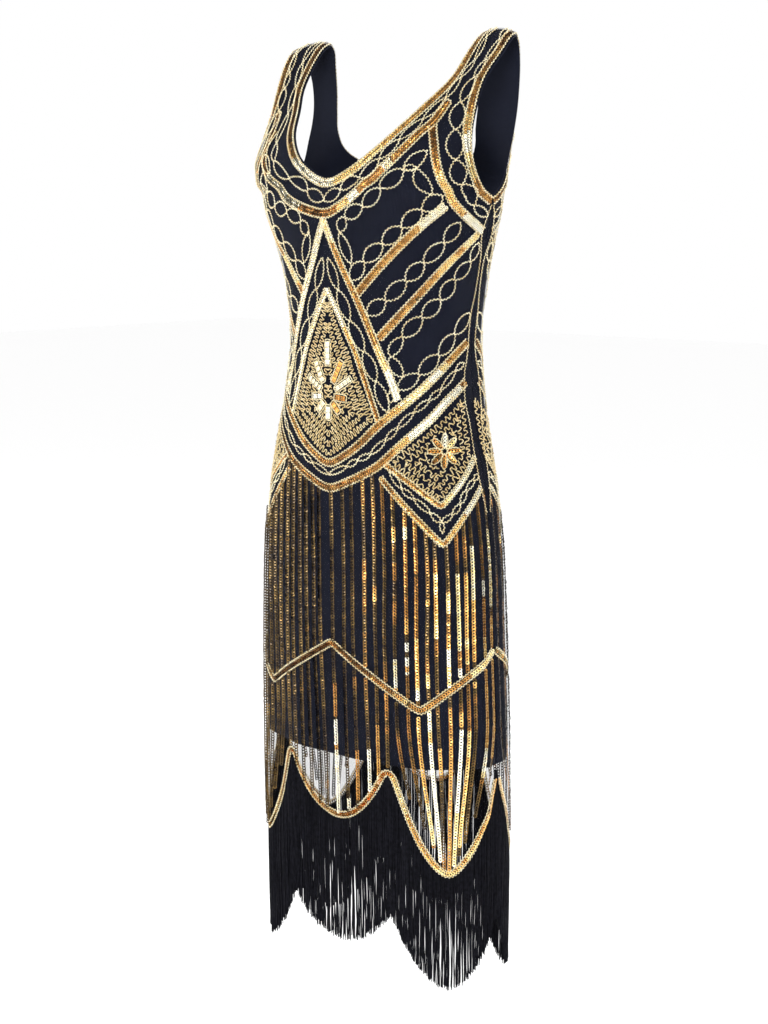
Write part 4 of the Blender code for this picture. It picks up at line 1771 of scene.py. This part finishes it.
@dataclass
class Needlework:
    """The sewing on one panel.

    Attributes:
        panel: The worn panel.
        skin: The face that it is sewn on.
        design: What is sewn.
        seed: Seed of the random draws.
        shape: Template shapes of the small things.
        sets: The small things by the names of their sets.
    """

    panel: WornPanel
    skin: ClothSkin
    design: Design
    seed: int
    shape: TrimShape = field(default_factory=TrimShape)
    sets: dict[str, TrimSet] = field(default_factory=dict)

    def __post_init__(self) -> None:
        """Starts the empty sets and the random draws."""
        self.rng = np.random.default_rng(self.seed)
        self.sets = {name: TrimSet(kind, self.shape) for name, kind in TRIM_SETS.items()}

    def stray(self, size: float, count: int) -> Array:
        """Random strays of about the given size."""
        return self.rng.normal(0.0, size, count)

    def course(self, places: Array, pitch: float) -> Course:
        """A line laid on the cloth through some points near it, with points at an even pitch."""
        laid, outward = self.skin.snap(spaced(places, pitch))
        return Course(laid, directions(laid), outward)

    def flat_course(self, flat: Array) -> Course:
        """Points on the cloth given flat: their distance from the centre line, and their tape."""
        across = flat[:, 0] / self.panel.half_widths(flat[:, 1])
        laid, outward = self.skin.snap(self.panel.points(flat[:, 1], across))
        return Course(laid, directions(laid), outward)

    def beads(self, kind: BeadLine, line: Course) -> None:
        """Sets beads on every point of a line, to its left and right by turns."""
        count = len(line.places)
        tone = kind.tone + BEAD_TONE_STRAY * drift(self.rng, count, TONE_RUN)
        tone += self.stray(BEAD_TONE_STRAY, count)
        way = np.where(np.arange(count) % 2 == 0, 1.0, -1.0)
        aside = way * kind.wobble + self.stray(BEAD_STRAY, count)
        raised = line.outward * (self.shape.bead_radius * BEAD_SEAT)
        along, side = swung(line.along, line.sideways, way * BEAD_YAW + self.stray(BEAD_TURN_STRAY, count))
        sizes = kind.size * self.rng.uniform(*BEAD_SIZES, count)
        places = line.places + line.sideways * aside[:, None] + raised
        self.sets[kind.group].add(places, turns(along, side, line.outward), sizes, tone)

    def field_beads(self, kind: BeadLine, flat: Array) -> None:
        """Sets beads at flat points."""
        if len(flat) > 1:
            self.beads(kind, self.flat_course(flat))

    def lapped(self, name: str, line: Course, lap: float, roll: Array, size: float, tone: Array) -> None:
        """Sets lapped sequins on every point of a line.

        Args:
            name: The set that gets them.
            line: Where they go.
            lap: Angle that each tips over the one before.
            roll: Angle that each turns about the line.
            size: Their size, as a share of the template.
            tone: Their tones.
        """
        count = len(line.places)
        lap_angle = lap + self.stray(LAP_STRAY, count)
        roll_angle = roll + self.stray(ROLL_STRAY, count)
        side, up = swung(line.sideways, line.outward, roll_angle)
        front, top = swung(line.along, up, lap_angle)
        tipped = np.sin(abs(lap)) + SEQUIN_RISE * np.abs(np.sin(roll_angle))
        rise = self.shape.sequin_radius * size * tipped + SEQUIN_SEAT
        sizes = size * self.rng.uniform(*SEQUIN_SIZES, count)
        self.sets[name].add(line.places + line.outward * rise[:, None], turns(front, side, top), sizes, tone)

    def toned(self, place: Array, runs: Sequence[Run]) -> Array:
        """Tones of a band's sequins from their places along it: a drifting amber, with runs that paint
        glints, highlights and shade over it.
        """
        count = len(place)
        tone = AMBER + BAND_DRIFT * drift(self.rng, count, TONE_RUN) + self.stray(BAND_STRAY, count)
        for run in runs:
            inside = (place >= run.start) & (place <= run.end)
            tone = np.where(inside, run.tone + self.stray(RUN_STRAY, count), tone)
        return tone

    def band(self, marked: Course, size: BandSize, runs: Sequence[Run], ends: tuple[float, float]) -> None:
        """Sews a band along a line.

        Args:
            marked: The line down its middle.
            size: Sizes of the band.
            runs: Stretches with tones of their own, which paint glints, highlights and shade.
            ends: Places of its two ends, as the runs count them.
        """
        middle = self.course(marked.places, COURSE_PITCH)
        for row in range(size.rows):
            lane = row - (size.rows - 1) / 2
            aside = lane * (size.width / 2 - self.shape.bead_radius)
            line = self.course(middle.places + middle.sideways * aside, size.pitch)
            if row == 1 and len(line.places) > 3:
                line = self.course((line.places[1:] + line.places[:-1]) / 2, size.pitch)
            count = len(line.places)
            tone = self.toned(np.linspace(*ends, count), runs)
            roll = -lane * ROW_TIP + ROLL_DRIFT * drift(self.rng, count, ROLL_RUN)
            self.lapped("band_sequins", line, size.lap, roll, size.sequin, tone)
        for side in (-1, 1):
            rim = middle.places + middle.sideways * (side * size.width / 2)
            self.beads(RIM, self.course(rim, RIM.pitch))

    def cap(self, line: Course, size: BandSize) -> None:
        """Closes the last end of a band with a half round of beads."""
        angles = np.linspace(-math.pi / 2, math.pi / 2, CAP_POINTS)[1:-1, None]
        arc = line.along[-1] * np.cos(angles) * CAP_FLATNESS + line.sideways[-1] * np.sin(angles)
        self.beads(RIM, self.course(line.places[-1] + size.width / 2 * arc, RIM.pitch))

    def edge_line(self, across: float, toward: float) -> Array:
        """The line just inside the neck or an armhole on the wearer's left.

        Args:
            across: Place across of the edge.
            toward: 1 where the cloth lies at greater places across, -1 where at smaller ones.

        Returns:
            Its points, from the strap top down.
        """
        tapes = np.linspace(0.0, self.panel.tip, EDGE_STEPS)
        edge = self.panel.points(tapes, np.full(len(tapes), across))
        into = self.panel.points(tapes, np.full(len(tapes), across + toward * EDGE_PROBE)) - edge
        along = directions(edge)
        if across == 0.0:
            along[-1] = (-1.0, 0.0, 0.0)
        into = square_to(into, along)
        if across == 0.0:
            into[-1] = (0.0, 0.0, -1.0)
        return edge + into * EDGE_INSET

    def edges(self) -> None:
        """Bands along the neck and the armholes."""
        neck = self.edge_line(0.0, 1.0)
        other = neck * OTHER_SIDE
        neck[-1, 0] = 0.0
        whole = rounded(np.concatenate((other[:-1], neck[::-1])), EDGE_PASSES)
        self.band(self.course(whole, COURSE_PITCH), EDGE_BAND, self.design.neck_runs, (-1.0, 1.0))
        armhole = self.edge_line(1.0, -1.0)
        for half, far in ((armhole, 1.0), (armhole * OTHER_SIDE, -1.0)):
            line = self.course(rounded(half, EDGE_PASSES), COURSE_PITCH)
            self.band(line, EDGE_BAND, self.design.arm_runs, (0.0, far))

    def hem(self) -> None:
        """The band along the scalloped hem."""
        across = np.linspace(-HEM_BAND_END, HEM_BAND_END, HEM_STEPS)
        edge = self.panel.points(hem_tape(across), across)
        up = unit(np.cross(directions(edge), (0.0, float(self.panel.facing), 0.0)))
        up *= np.sign(up[:, 2:3])
        line = self.course(rounded(edge + up * HEM_INSET, EDGE_PASSES), COURSE_PITCH)
        self.band(line, HEM_BAND, HEM_RUNS, (-1.0, 1.0))

    def bands(self) -> None:
        """The bands of the bodice, the hips and the skirt."""
        for band in self.design.bands:
            path, passes = (smooth_path, CURVE_PASSES) if band.smooth else (straight_path, CORNER_PASSES)
            right = other_side(band.right or band.spots)
            halves = [(band.spots, (0.0, 1.0)), (right, (0.0, -1.0))]
            if band.joined:
                halves = [(right[:0:-1] + band.spots, (-1.0, 1.0))]
            for marks, ends in halves:
                places = spaced(self.panel.points(*path(marks, BAND_STEPS).T), COURSE_PITCH)
                line = self.course(rounded(places, passes), COURSE_PITCH)
                self.band(line, band.size, band.runs, ends)
                if band.capped:
                    self.cap(line, band.size)
                    self.cap(Course(line.places[::-1], -line.along[::-1], line.outward[::-1]), band.size)

    def strands(self, crossings: Sequence[Spot], widths: Sequence[float]) -> None:
        """Sews the two crossing strands of one chain."""
        rows = smooth_path(crossings, LOOP_STEPS)
        places, outward = self.skin.snap(self.panel.points(*rows.T))
        sideways = Course(places, directions(places), outward).sideways
        loop = np.arange(len(rows)) / LOOP_STEPS
        number = np.minimum(loop.astype(int), len(widths) - 1)
        swing = np.abs(np.sin(loop * math.pi)) ** LOOP_FULLNESS * np.array(widths)[number]
        for way in (-1.0, 1.0):
            self.beads(CHAIN, self.course(places + sideways * (way * swing)[:, None], CHAIN.pitch))

    def chains(self) -> None:
        """The chains of loops, and the bead line along each side seam."""
        for chain in self.design.chains:
            self.strands(chain.crossings, chain.widths)
            self.strands(other_side(chain.right or chain.crossings), chain.widths)
        for marks in (SEAM_LINE, other_side(SEAM_LINE)):
            line = self.panel.points(*smooth_path(marks, SPOT_STEPS).T)
            self.beads(SEAM, self.course(line, SEAM.pitch))

    def field_lines(self, corners: Array, size: FieldSize, free: Sequence[Stretch]) -> None:
        """Fills a field with rings of wandering lines of beads, from its outline to its middle.

        Args:
            corners: Its outline, as flat points.
            size: Its sizes.
            free: Stretches that stay free: their two ends and how far they reach.
        """
        inset = size.border + size.swing
        ring = inset_corners(corners, inset)
        while ((side_vectors(ring) * side_vectors(corners)).sum(axis=1) > 0.0).all():
            flat = wandering(ring, size)
            for first, last, room in free:
                span = last - first
                place = np.clip(((flat - first) @ span) / (span @ span), 0.0, 1.0)
                flat = flat[np.linalg.norm(flat - first - place[:, None] * span, axis=1) > room]
            self.field_beads(FIELD, flat)
            inset += 2.0 * size.swing + size.gap
            ring = inset_corners(corners, inset)

    def bar(self, first: Array, last: Array, tone: float) -> None:
        """A bar three bugles wide with a rim of beads, from one flat point to another."""
        span = last - first
        length = np.linalg.norm(span)
        ray = span / length
        side = np.array((-ray[1], ray[0]))
        count = max(int(round(length / self.shape.bugle_length)), 1)
        share = (np.arange(count) + 0.5) / count
        size = length / count / self.shape.bugle_length
        for lane in (-1.0, 0.0, 1.0):
            flat = first + span * share[:, None] + side * (lane * BAR_HALF_WIDTH * BAR_ROW_SHARE)
            line = self.flat_course(flat)
            line.along = unit(self.flat_course(flat + ray * AHEAD).places - line.places)
            line.outward = square_to(line.outward, line.along)
            raised = line.places + line.outward * self.shape.bugle_radius
            self.sets["bugles"].add(raised, turns(line.along, line.sideways, line.outward), size, tone)
        around = np.linspace(0.0, math.tau, BAR_RIM_STEPS)
        reach = np.clip(BAR_RIM_SQUARE * np.cos(around), -1.0, 1.0) * (length / 2 + BAR_RIM_END)
        rim = (first + last) / 2 + ray * reach[:, None] + side * (np.sin(around) * BAR_RIM)[:, None]
        self.field_beads(BAR_EDGE, spaced(rim, FIELD.pitch))

    def petals(self, middle: Array, flip: float) -> None:
        """A flower of sequin petals round a flat point."""
        around = np.linspace(0.0, math.tau, PETAL_RIM_STEPS)
        steps = PETAL_REACH + np.linspace(0.0, PETAL_LENGTH, PETAL_SEQUINS)
        for number, tone in enumerate(PETAL_TONES):
            angle = math.tau * number / len(PETAL_TONES)
            ray = np.array((math.sin(angle) * flip, -math.cos(angle)))
            side = np.array((-ray[1], ray[0]))
            line = self.flat_course(middle + ray * steps[:, None])
            tones = tone + self.stray(PETAL_STRAY, len(steps))
            self.lapped("band_sequins", line, PETAL_LAP, np.zeros(len(steps)), PETAL_SEQUIN, tones)
            reach = PETAL_REACH + PETAL_LENGTH / 2 - np.cos(around) * (PETAL_LENGTH / 2 + PETAL_RIM_END)
            rim = middle + ray * reach[:, None] + side * (np.sin(around) * PETAL_RIM)[:, None]
            self.field_beads(PETAL_EDGE, spaced(rim, FIELD.pitch))

    def fields(self) -> None:
        """The filled kite on the centre line and the filled diamond at each side."""
        bars = []
        for spoke in KITE_BARS:
            ray = np.array((math.sin(spoke.angle), -math.cos(spoke.angle)))
            first = KITE_MIDDLE + ray * spoke.start
            bars.append((first, first + ray * spoke.length, spoke.tone))
        free = [(first, last, BAR_RIM + BAR_ROOM) for first, last, _ in bars]
        self.field_lines(KITE_CORNERS, KITE_FIELD, free)
        for bar in bars:
            self.bar(*bar)
        for flip in (1.0, -1.0):
            turn = np.array((flip, 1.0))
            middle = DIAMOND_MIDDLE * turn
            reach = PETAL_REACH + PETAL_LENGTH + FLOWER_ROOM
            free = [(middle, middle + np.array((0.0, JUST_INSIDE)), reach)]
            self.field_lines(DIAMOND_CORNERS * turn, DIAMOND_FIELD, free)
            self.petals(middle, flip)

    def lower_edge(self, across: float) -> float:
        """Tape at which the hip work ends at a place across."""
        found = 0.0
        edges = ((HIP_LOWER, smooth_path, HIP_ROOM), (DIAMOND_OUTER, straight_path, DIAMOND_ROOM))
        for marks, path, room in edges:
            tapes, places = path(marks, SPOT_STEPS).T
            found = max(found, float(np.interp(abs(across), places, tapes, left=0.0)) + room)
        return found

    def stripes(self) -> None:
        """The upright stripes of sequins of the skirt, from the hip work down to the hem."""
        crossing = straight_path(ZIGZAG, SPOT_STEPS)
        for number, across in enumerate(self.design.stripes):
            bottom = float(hem_tape(np.array([across]))[0]) - HEM_MARGIN
            tapes = np.arange(self.lower_edge(across), bottom, COURSE_PITCH)
            path = np.full(len(tapes), across)
            if abs(across) > PEAK_ACROSS:
                lean = LEAN * smooth_step((tapes - LEAN_FROM) / LEAN_OVER)
                path = across + (math.copysign(SIDE_DIP_ACROSS, across) - across) * lean
            path = path + STRIPE_WANDER * drift(self.rng, len(tapes), WANDER_RUN)
            keep = tapes < hem_tape(path) - HEM_ROOM
            if keep.sum() < LEAST_STRIPE:
                continue
            line = self.course(self.panel.points(tapes[keep], path[keep]), STRIPE_PITCH)
            run = run_along(line.places)
            tape = np.interp(run / run[-1], np.linspace(0.0, 1.0, int(keep.sum())), tapes[keep])
            deep = np.interp(np.abs(np.interp(tape, tapes, path)), crossing[:, 1], crossing[:, 0])
            clear = np.abs(tape - deep) > ZIGZAG_ROOM
            kept = Course(line.places[clear], line.along[clear], line.outward[clear])
            self.stripe(kept, tape[clear], across, number)

    def stripe(self, line: Course, tape: Array, across: float, number: int) -> None:
        """One stripe, with its own turn, and runs of tone that paint its glints and its shade.

        Args:
            line: Where its sequins go.
            tape: Their tapes.
            across: Its place across.
            number: Its number in the design.
        """
        count = len(line.places)
        turned_away = float(smooth_step(np.array([(TURN_FROM - across) / TURN_OVER]))[0])
        if self.panel.facing > 0:
            turned_away = BACK_TURN + BACK_TURN * float(self.rng.uniform(-1.0, 1.0))
        roll = TURNED_ROLL * turned_away + STRIPE_ROLL * drift(self.rng, count, STRIPE_ROLL_RUN)
        runs = drift(self.rng, count, LONG_RUN)
        # Painted shade: sequins turned away from the light take the dark olive tone, those facing it a
        # lighter one
        dim = PAINTED_SHADE + SHADE_DRIFTS[0] * runs + SHADE_DRIFTS[1] * drift(self.rng, count, SHADE_DRIFTS[2])
        lit_side_tone = LIT_SIDE_TONE + LIT_SIDE_DRIFTS[0] * runs + LIT_SIDE_DRIFTS[1] * drift(self.rng, count, LIT_SIDE_DRIFTS[2])
        tone = dim * turned_away + lit_side_tone * (1.0 - turned_away) + self.stray(STRIPE_STRAY, count)
        # Painted glints: runs of lighter sequins, rarer and dimmer where the stripe is turned away
        glints = drift(self.rng, count, GLINT_RUN) > GLINT_FROM + GLINT_RARER * turned_away
        tone = np.where(glints, tone + GLINT_GAIN * (1.0 - GLINT_DIMMED * turned_away), tone)
        # Listed runs paint the glints, highlights and shade of single stripes
        for stripe, runs_of_tone in self.design.stripe_runs.items():
            for run in runs_of_tone:
                inside = (stripe == number) & (tape >= run.start) & (tape <= run.end)
                tone = np.where(inside, run.tone + self.stray(STRIPE_STRAY, count), tone)
                roll = np.where(inside, roll * LIT_ROLL, roll)
        self.lapped("stripe_sequins", line, STRIPE_LAP, roll, STRIPE_SEQUIN, tone)

    def sew(self) -> None:
        """Works the whole panel."""
        self.edges()
        self.hem()
        self.bands()
        self.chains()
        self.fields()
        self.stripes()

    def pieces(self, sequin: Material, bead: Material) -> list[Object]:
        """Makes one piece of each set.

        Args:
            sequin: The sequins' material.
            bead: The beads' material.

        Returns:
            The pieces.
        """
        made = []
        for name, group in self.sets.items():
            material, slot = (bead, "gold_beads") if group.kind is Trim.BEAD else (sequin, "gold_sequins")
            made.append(put(f"{self.panel.side}_{name}", group.build(), material, slot))
        return made


@dataclass
class Fringe:
    """The fringe of one panel, strand by strand; pairs are the least and the greatest of a random draw.

    Attributes:
        panel: The worn panel.
        seed: Seed of the random draws.
        spacing: Distance between strands along the hem.
        radius: Radius of a strand.
        knots: Points along a strand.
        clump: Distance between the places that the strands gather to.
        clump_stray: How far such a place strays, as a share of that.
        start_stray: How far a strand's start strays, across.
        hem_points: Points at which the hem is measured.
        start_end: Furthest place across of a start.
        path_end: Furthest place across of any point.
        pull: Share of the way that a strand goes to the nearest such place.
        pull_growth: How fast that share grows along it.
        pull_delay: How late it starts to grow.
        sway: How far a strand sways to its sides.
        sway_turn: Turn of its wave along a strand.
        cut: Length of a strand, as a share of the fringe's length there.
        root: How far above the hem a strand starts.
        depth: How far out of the cloth's face a strand hangs.
        curl: How far a strand curls in and out.
        curl_turn: Turn of its wave along a strand.
    """

    panel: WornPanel
    seed: int
    spacing: float = 0.00074
    radius: float = 0.00052
    knots: int = 9
    clump: float = 0.0032
    clump_stray: float = 0.4
    start_stray: float = 0.0008
    hem_points: int = 1201
    start_end: float = 0.998
    path_end: float = 0.999
    pull: tuple[float, float] = (0.05, 0.75)
    pull_growth: float = 1.25
    pull_delay: float = 0.15
    sway: tuple[float, float] = (0.0003, 0.0011)
    sway_turn: tuple[float, float] = (4.0, 11.0)
    cut: tuple[float, float] = (0.950, 1.0)
    root: float = 0.003
    depth: tuple[float, float] = (-0.0022, 0.0006)
    curl: float = 0.0006
    curl_turn: tuple[float, float] = (3.0, 8.0)

    def strand(self, rng: np.random.Generator, start: float, gathers: Array, width: float) -> Array:
        """One strand.

        Args:
            rng: The random draws.
            start: Place across at which it is sewn on.
            gathers: Places that the strands gather to, as distances from the centre line.
            width: Distance from the centre line to the side seam.

        Returns:
            Its points, from the hem down.
        """
        share = np.linspace(0.0, 1.0, self.knots)
        nearest = gathers[np.argmin(np.abs(gathers - start * width))] / width
        grown = smooth_step(share * self.pull_growth - self.pull_delay)
        path = start + (nearest - start) * (rng.uniform(*self.pull) * grown)
        sway = rng.uniform(*self.sway) / width
        waves = share * rng.uniform(*self.sway_turn) + rng.uniform(0.0, math.tau)
        path = path + sway * np.sin(waves) * share
        path = np.clip(path, -self.path_end, self.path_end)
        length = float(fringe_length(np.array([start]))[0]) * rng.uniform(*self.cut)
        top = float(hem_tape(np.array([start]))[0]) - self.root
        tapes = top + (length + self.root) * share
        depth = rng.uniform(*self.depth) + self.curl * np.sin(share * rng.uniform(*self.curl_turn))
        normals = self.panel.base_normals(tapes, np.abs(path))
        normals[:, 0] *= np.where(path < 0, -1.0, 1.0)
        return self.panel.points(tapes, path) + normals * depth[:, None]

    def build(self) -> Mesh:
        """Builds every strand as a thin tube and makes one mesh of them.

        Returns:
            The mesh.
        """
        rng = np.random.default_rng(self.seed)
        across = np.linspace(-1.0, 1.0, self.hem_points)
        run = run_along(self.panel.points(hem_tape(across), across))
        count = int(run[-1] / self.spacing)
        starts = np.interp((np.arange(count) + 0.5) / count * run[-1], run, across)
        starts = np.clip(starts + rng.normal(0.0, self.start_stray, count), -self.start_end, self.start_end)
        width = float(self.panel.half_widths(np.array([HEM_CENTRE_DIP]))[0])
        gathers = np.arange(-width, width, self.clump)
        gathers = gathers + rng.uniform(-self.clump_stray, self.clump_stray, len(gathers)) * self.clump
        curve = bpy.data.curves.new("fringe", "CURVE")
        curve.dimensions = "3D"
        curve.bevel_depth = self.radius
        curve.bevel_resolution = 0
        curve.use_fill_caps = True
        for start in starts:
            spline = curve.splines.new("POLY")
            spline.points.add(self.knots - 1)
            places = self.strand(rng, start, gathers, width)
            spline.points.foreach_set("co", np.column_stack((places, np.ones(self.knots))).ravel())
        holder = new_object("strands", curve)
        mesh = baked(holder)
        bpy.data.objects.remove(holder, do_unlink=True)
        return mesh


class Lamp(NamedTuple):
    """A soft square lamp: its name, its place, its side and its power."""

    name: str
    place: tuple[float, float, float]
    size: float
    power: float


@dataclass
class Studio:
    """Floor, light and camera.

    Attributes:
        floor_depth: Depth of the floor below the strap tops.
        floor_size: Half the floor's side.
        azimuth: Direction that the camera looks from, as on the photo.
        pitch: How far the camera looks down.
        distance: Level distance from the camera to the dress's upright axis.
        height: Height of the camera.
        axis_y: Where the dress's upright axis lies.
        lens: Focal length on a long side of 36 mm.
        shift: Shift of the picture sideways, as a share of its long side.
        lamps: The lamps.
        aim: The point that the lamps look at.
        window: Direction of the brightest part of the surroundings, as a unit vector.
        window_light: Strength of that part, as the sequins mirror it.
        surround: How the mirrored surroundings fall off away from it.
    """

    floor_depth: float = 1.42
    floor_size: float = 14.0
    azimuth: float = math.radians(40.0)
    pitch: float = math.radians(9.18)
    distance: float = 2.11
    height: float = -0.2016
    axis_y: float = -0.035
    lens: float = 65.04
    shift: float = -2.0 / 1024.0
    lamps: tuple[Lamp, ...] = (
        Lamp("key", (1.6, -2.6, 1.2), 1.2, 60.0),
        Lamp("fill", (-2.4, -1.8, 0.6), 1.6, 35.0),
        Lamp("back", (0.8, 2.6, 1.0), 1.4, 40.0),
    )
    aim: tuple[float, float, float] = (0.0, 0.0, -0.5)
    window: tuple[float, float, float] = (0.60, -0.70, 0.39)
    window_light: float = 1.9
    surround: tuple[Tint, ...] = (
        Tint(0.0, (0.16, 0.16, 0.16)),
        Tint(0.55, (0.30, 0.30, 0.30)),
        Tint(0.80, (0.62, 0.62, 0.62)),
        Tint(1.0, (1.0, 1.0, 1.0)),
    )

    @staticmethod
    def look(holder: Object, way: Vector) -> None:
        """Turns a camera or a lamp to look a given way."""
        holder.rotation_mode = "QUATERNION"
        holder.rotation_quaternion = way.to_track_quat("-Z", "Y")

    def camera(self) -> None:
        """Sets up the camera."""
        data = bpy.data.cameras.new("camera")
        data.lens = self.lens
        data.sensor_width = 36.0
        data.shift_x = self.shift
        data.clip_start = 0.05
        holder = new_object("camera", data)
        level = Vector((math.sin(self.azimuth), -math.cos(self.azimuth), 0.0))
        holder.location = level * self.distance + Vector((0.0, self.axis_y, self.height))
        self.look(holder, -level * math.cos(self.pitch) + Vector((0.0, 0.0, -math.sin(self.pitch))))
        bpy.context.scene.camera = holder

    def floor(self) -> None:
        """A wide pale floor."""
        grid = bmesh.new()
        bmesh.ops.create_grid(grid, x_segments=4, y_segments=4, size=self.floor_size)
        bmesh.ops.translate(grid, verts=grid.verts, vec=(0.0, 0.0, -self.floor_depth))
        mesh = mesh_of("studio_floor", grid)
        material, _, shader = new_material("pale_floor")
        set_inputs(shader, {
            "Base Color": (0.99, 0.99, 0.99, 1.0), "Roughness": 0.9, "Specular IOR Level": 0.1,
        })
        mesh.materials.append(material)
        new_object("studio_floor", mesh)

    def light(self) -> None:
        """Soft lamps, and white surroundings that the sequins mirror darker away from the window."""
        world = bpy.data.worlds.new("studio")
        world.use_nodes = True
        tree = world.node_tree
        white = tree.nodes["Background"]
        set_inputs(white, {"Color": (1.0, 1.0, 1.0, 1.0), "Strength": 1.0})
        dim = tree.nodes.new("ShaderNodeBackground")
        set_inputs(dim, {"Color": (1.0, 1.0, 1.0, 1.0)})
        way = tree.nodes.new("ShaderNodeTexCoord")
        aim = tree.nodes.new("ShaderNodeVectorMath")
        aim.operation = "DOT_PRODUCT"
        aim.inputs[1].default_value = self.window
        tree.links.new(way.outputs["Generated"], aim.inputs[0])
        tone = ramp_node(tree, self.surround)
        tree.links.new(aim.outputs["Value"], tone.inputs["Fac"])
        lit = math_node(tree, "MULTIPLY", tone.outputs["Color"], self.window_light)
        tree.links.new(lit, dim.inputs["Strength"])
        path = tree.nodes.new("ShaderNodeLightPath")
        both = tree.nodes.new("ShaderNodeMixShader")
        tree.links.new(path.outputs["Is Glossy Ray"], both.inputs["Fac"])
        tree.links.new(white.outputs[0], both.inputs[1])
        tree.links.new(dim.outputs[0], both.inputs[2])
        tree.links.new(both.outputs[0], tree.nodes["World Output"].inputs["Surface"])
        bpy.context.scene.world = world
        for lamp in self.lamps:
            data = bpy.data.lights.new(lamp.name, "AREA")
            data.shape = "SQUARE"
            data.size = lamp.size
            data.energy = lamp.power
            holder = new_object(lamp.name, data)
            holder.location = lamp.place
            self.look(holder, Vector(self.aim) - Vector(lamp.place))
        bpy.context.scene.view_settings.view_transform = "Standard"

    def build(self) -> None:
        """Sets everything up."""
        self.camera()
        self.floor()
        self.light()


@dataclass
class Dress:
    """The whole dress, of its two worn panels."""

    front: WornPanel
    back: WornPanel

    def dress_panel(
        self, panel: WornPanel, design: Design, seed: int, finishes: dict[str, Material]
    ) -> None:
        """Makes the net, the lining, the needlework and the fringe of one panel.

        Args:
            panel: The worn panel.
            design: What is sewn on it.
            seed: Seed of the panel's random draws.
            finishes: Materials by name.
        """
        side = panel.side
        net_shell = ClothShell(panel, 0.0, NET_WALL, scalloped=True)
        net_mesh = net_shell.build()
        skin = ClothSkin(net_mesh, panel.facing)
        net = put(f"{side}_net", net_mesh, finishes["net"], "outer_net")
        net_shell.thicken(net)
        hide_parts(f"{side}_panel")

        lining_shell = ClothShell(
            panel, -LINING_DEPTH, LINING_WALL, scalloped=False, columns=40, body_rows=66
        )
        lining = put(f"{side}_knit_lining", lining_shell.build(), finishes["lining"], "lining_knit")
        lining_shell.thicken(lining)
        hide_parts(f"{side}_lining")

        work = Needlework(panel, skin, design, seed)
        work.sew()
        sewn = work.pieces(finishes["sequin"], finishes["bead"])

        strands = Fringe(panel, seed + 1).build()
        fringe = put(f"{side}_fringe_strands", strands, finishes["yarn"], "fringe_yarn")
        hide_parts(f"{side}_fringe")

        width = 2.0 * float(panel.half_widths(np.array([WIDEST_TAPE]))[0])
        log.info("%s: width %.3f, net %.4f, lining %.4f", side, width, net_shell.area, lining_shell.area)

    def build(self) -> None:
        """Makes both panels."""
        finishes = {
            "net": NET.material(),
            "lining": LINING.material(),
            "sequin": SEQUIN_GOLD.material(),
            "bead": BEAD_GOLD.material(),
            "yarn": YARN.material(),
        }
        self.dress_panel(self.front, FRONT_DESIGN, FRONT_SEED, finishes)
        self.dress_panel(self.back, BACK_DESIGN, BACK_SEED, finishes)


def main() -> None:
    """Builds the studio and the dress."""
    logging.basicConfig(level=logging.INFO, format="%(name)s: %(message)s")
    Studio().build()
    front = WornPanel("front", FRONT_YOKE, body_sections(FRONT_YOKE[-1], -1), FRONT_FOLDS, FRONT_CREASES, -1)
    back = WornPanel("back", BACK_YOKE, body_sections(BACK_YOKE[-1], 1), BACK_FOLDS, BACK_CREASES, 1)
    Dress(front, back).build()


if __name__ == "__main__":
    main()
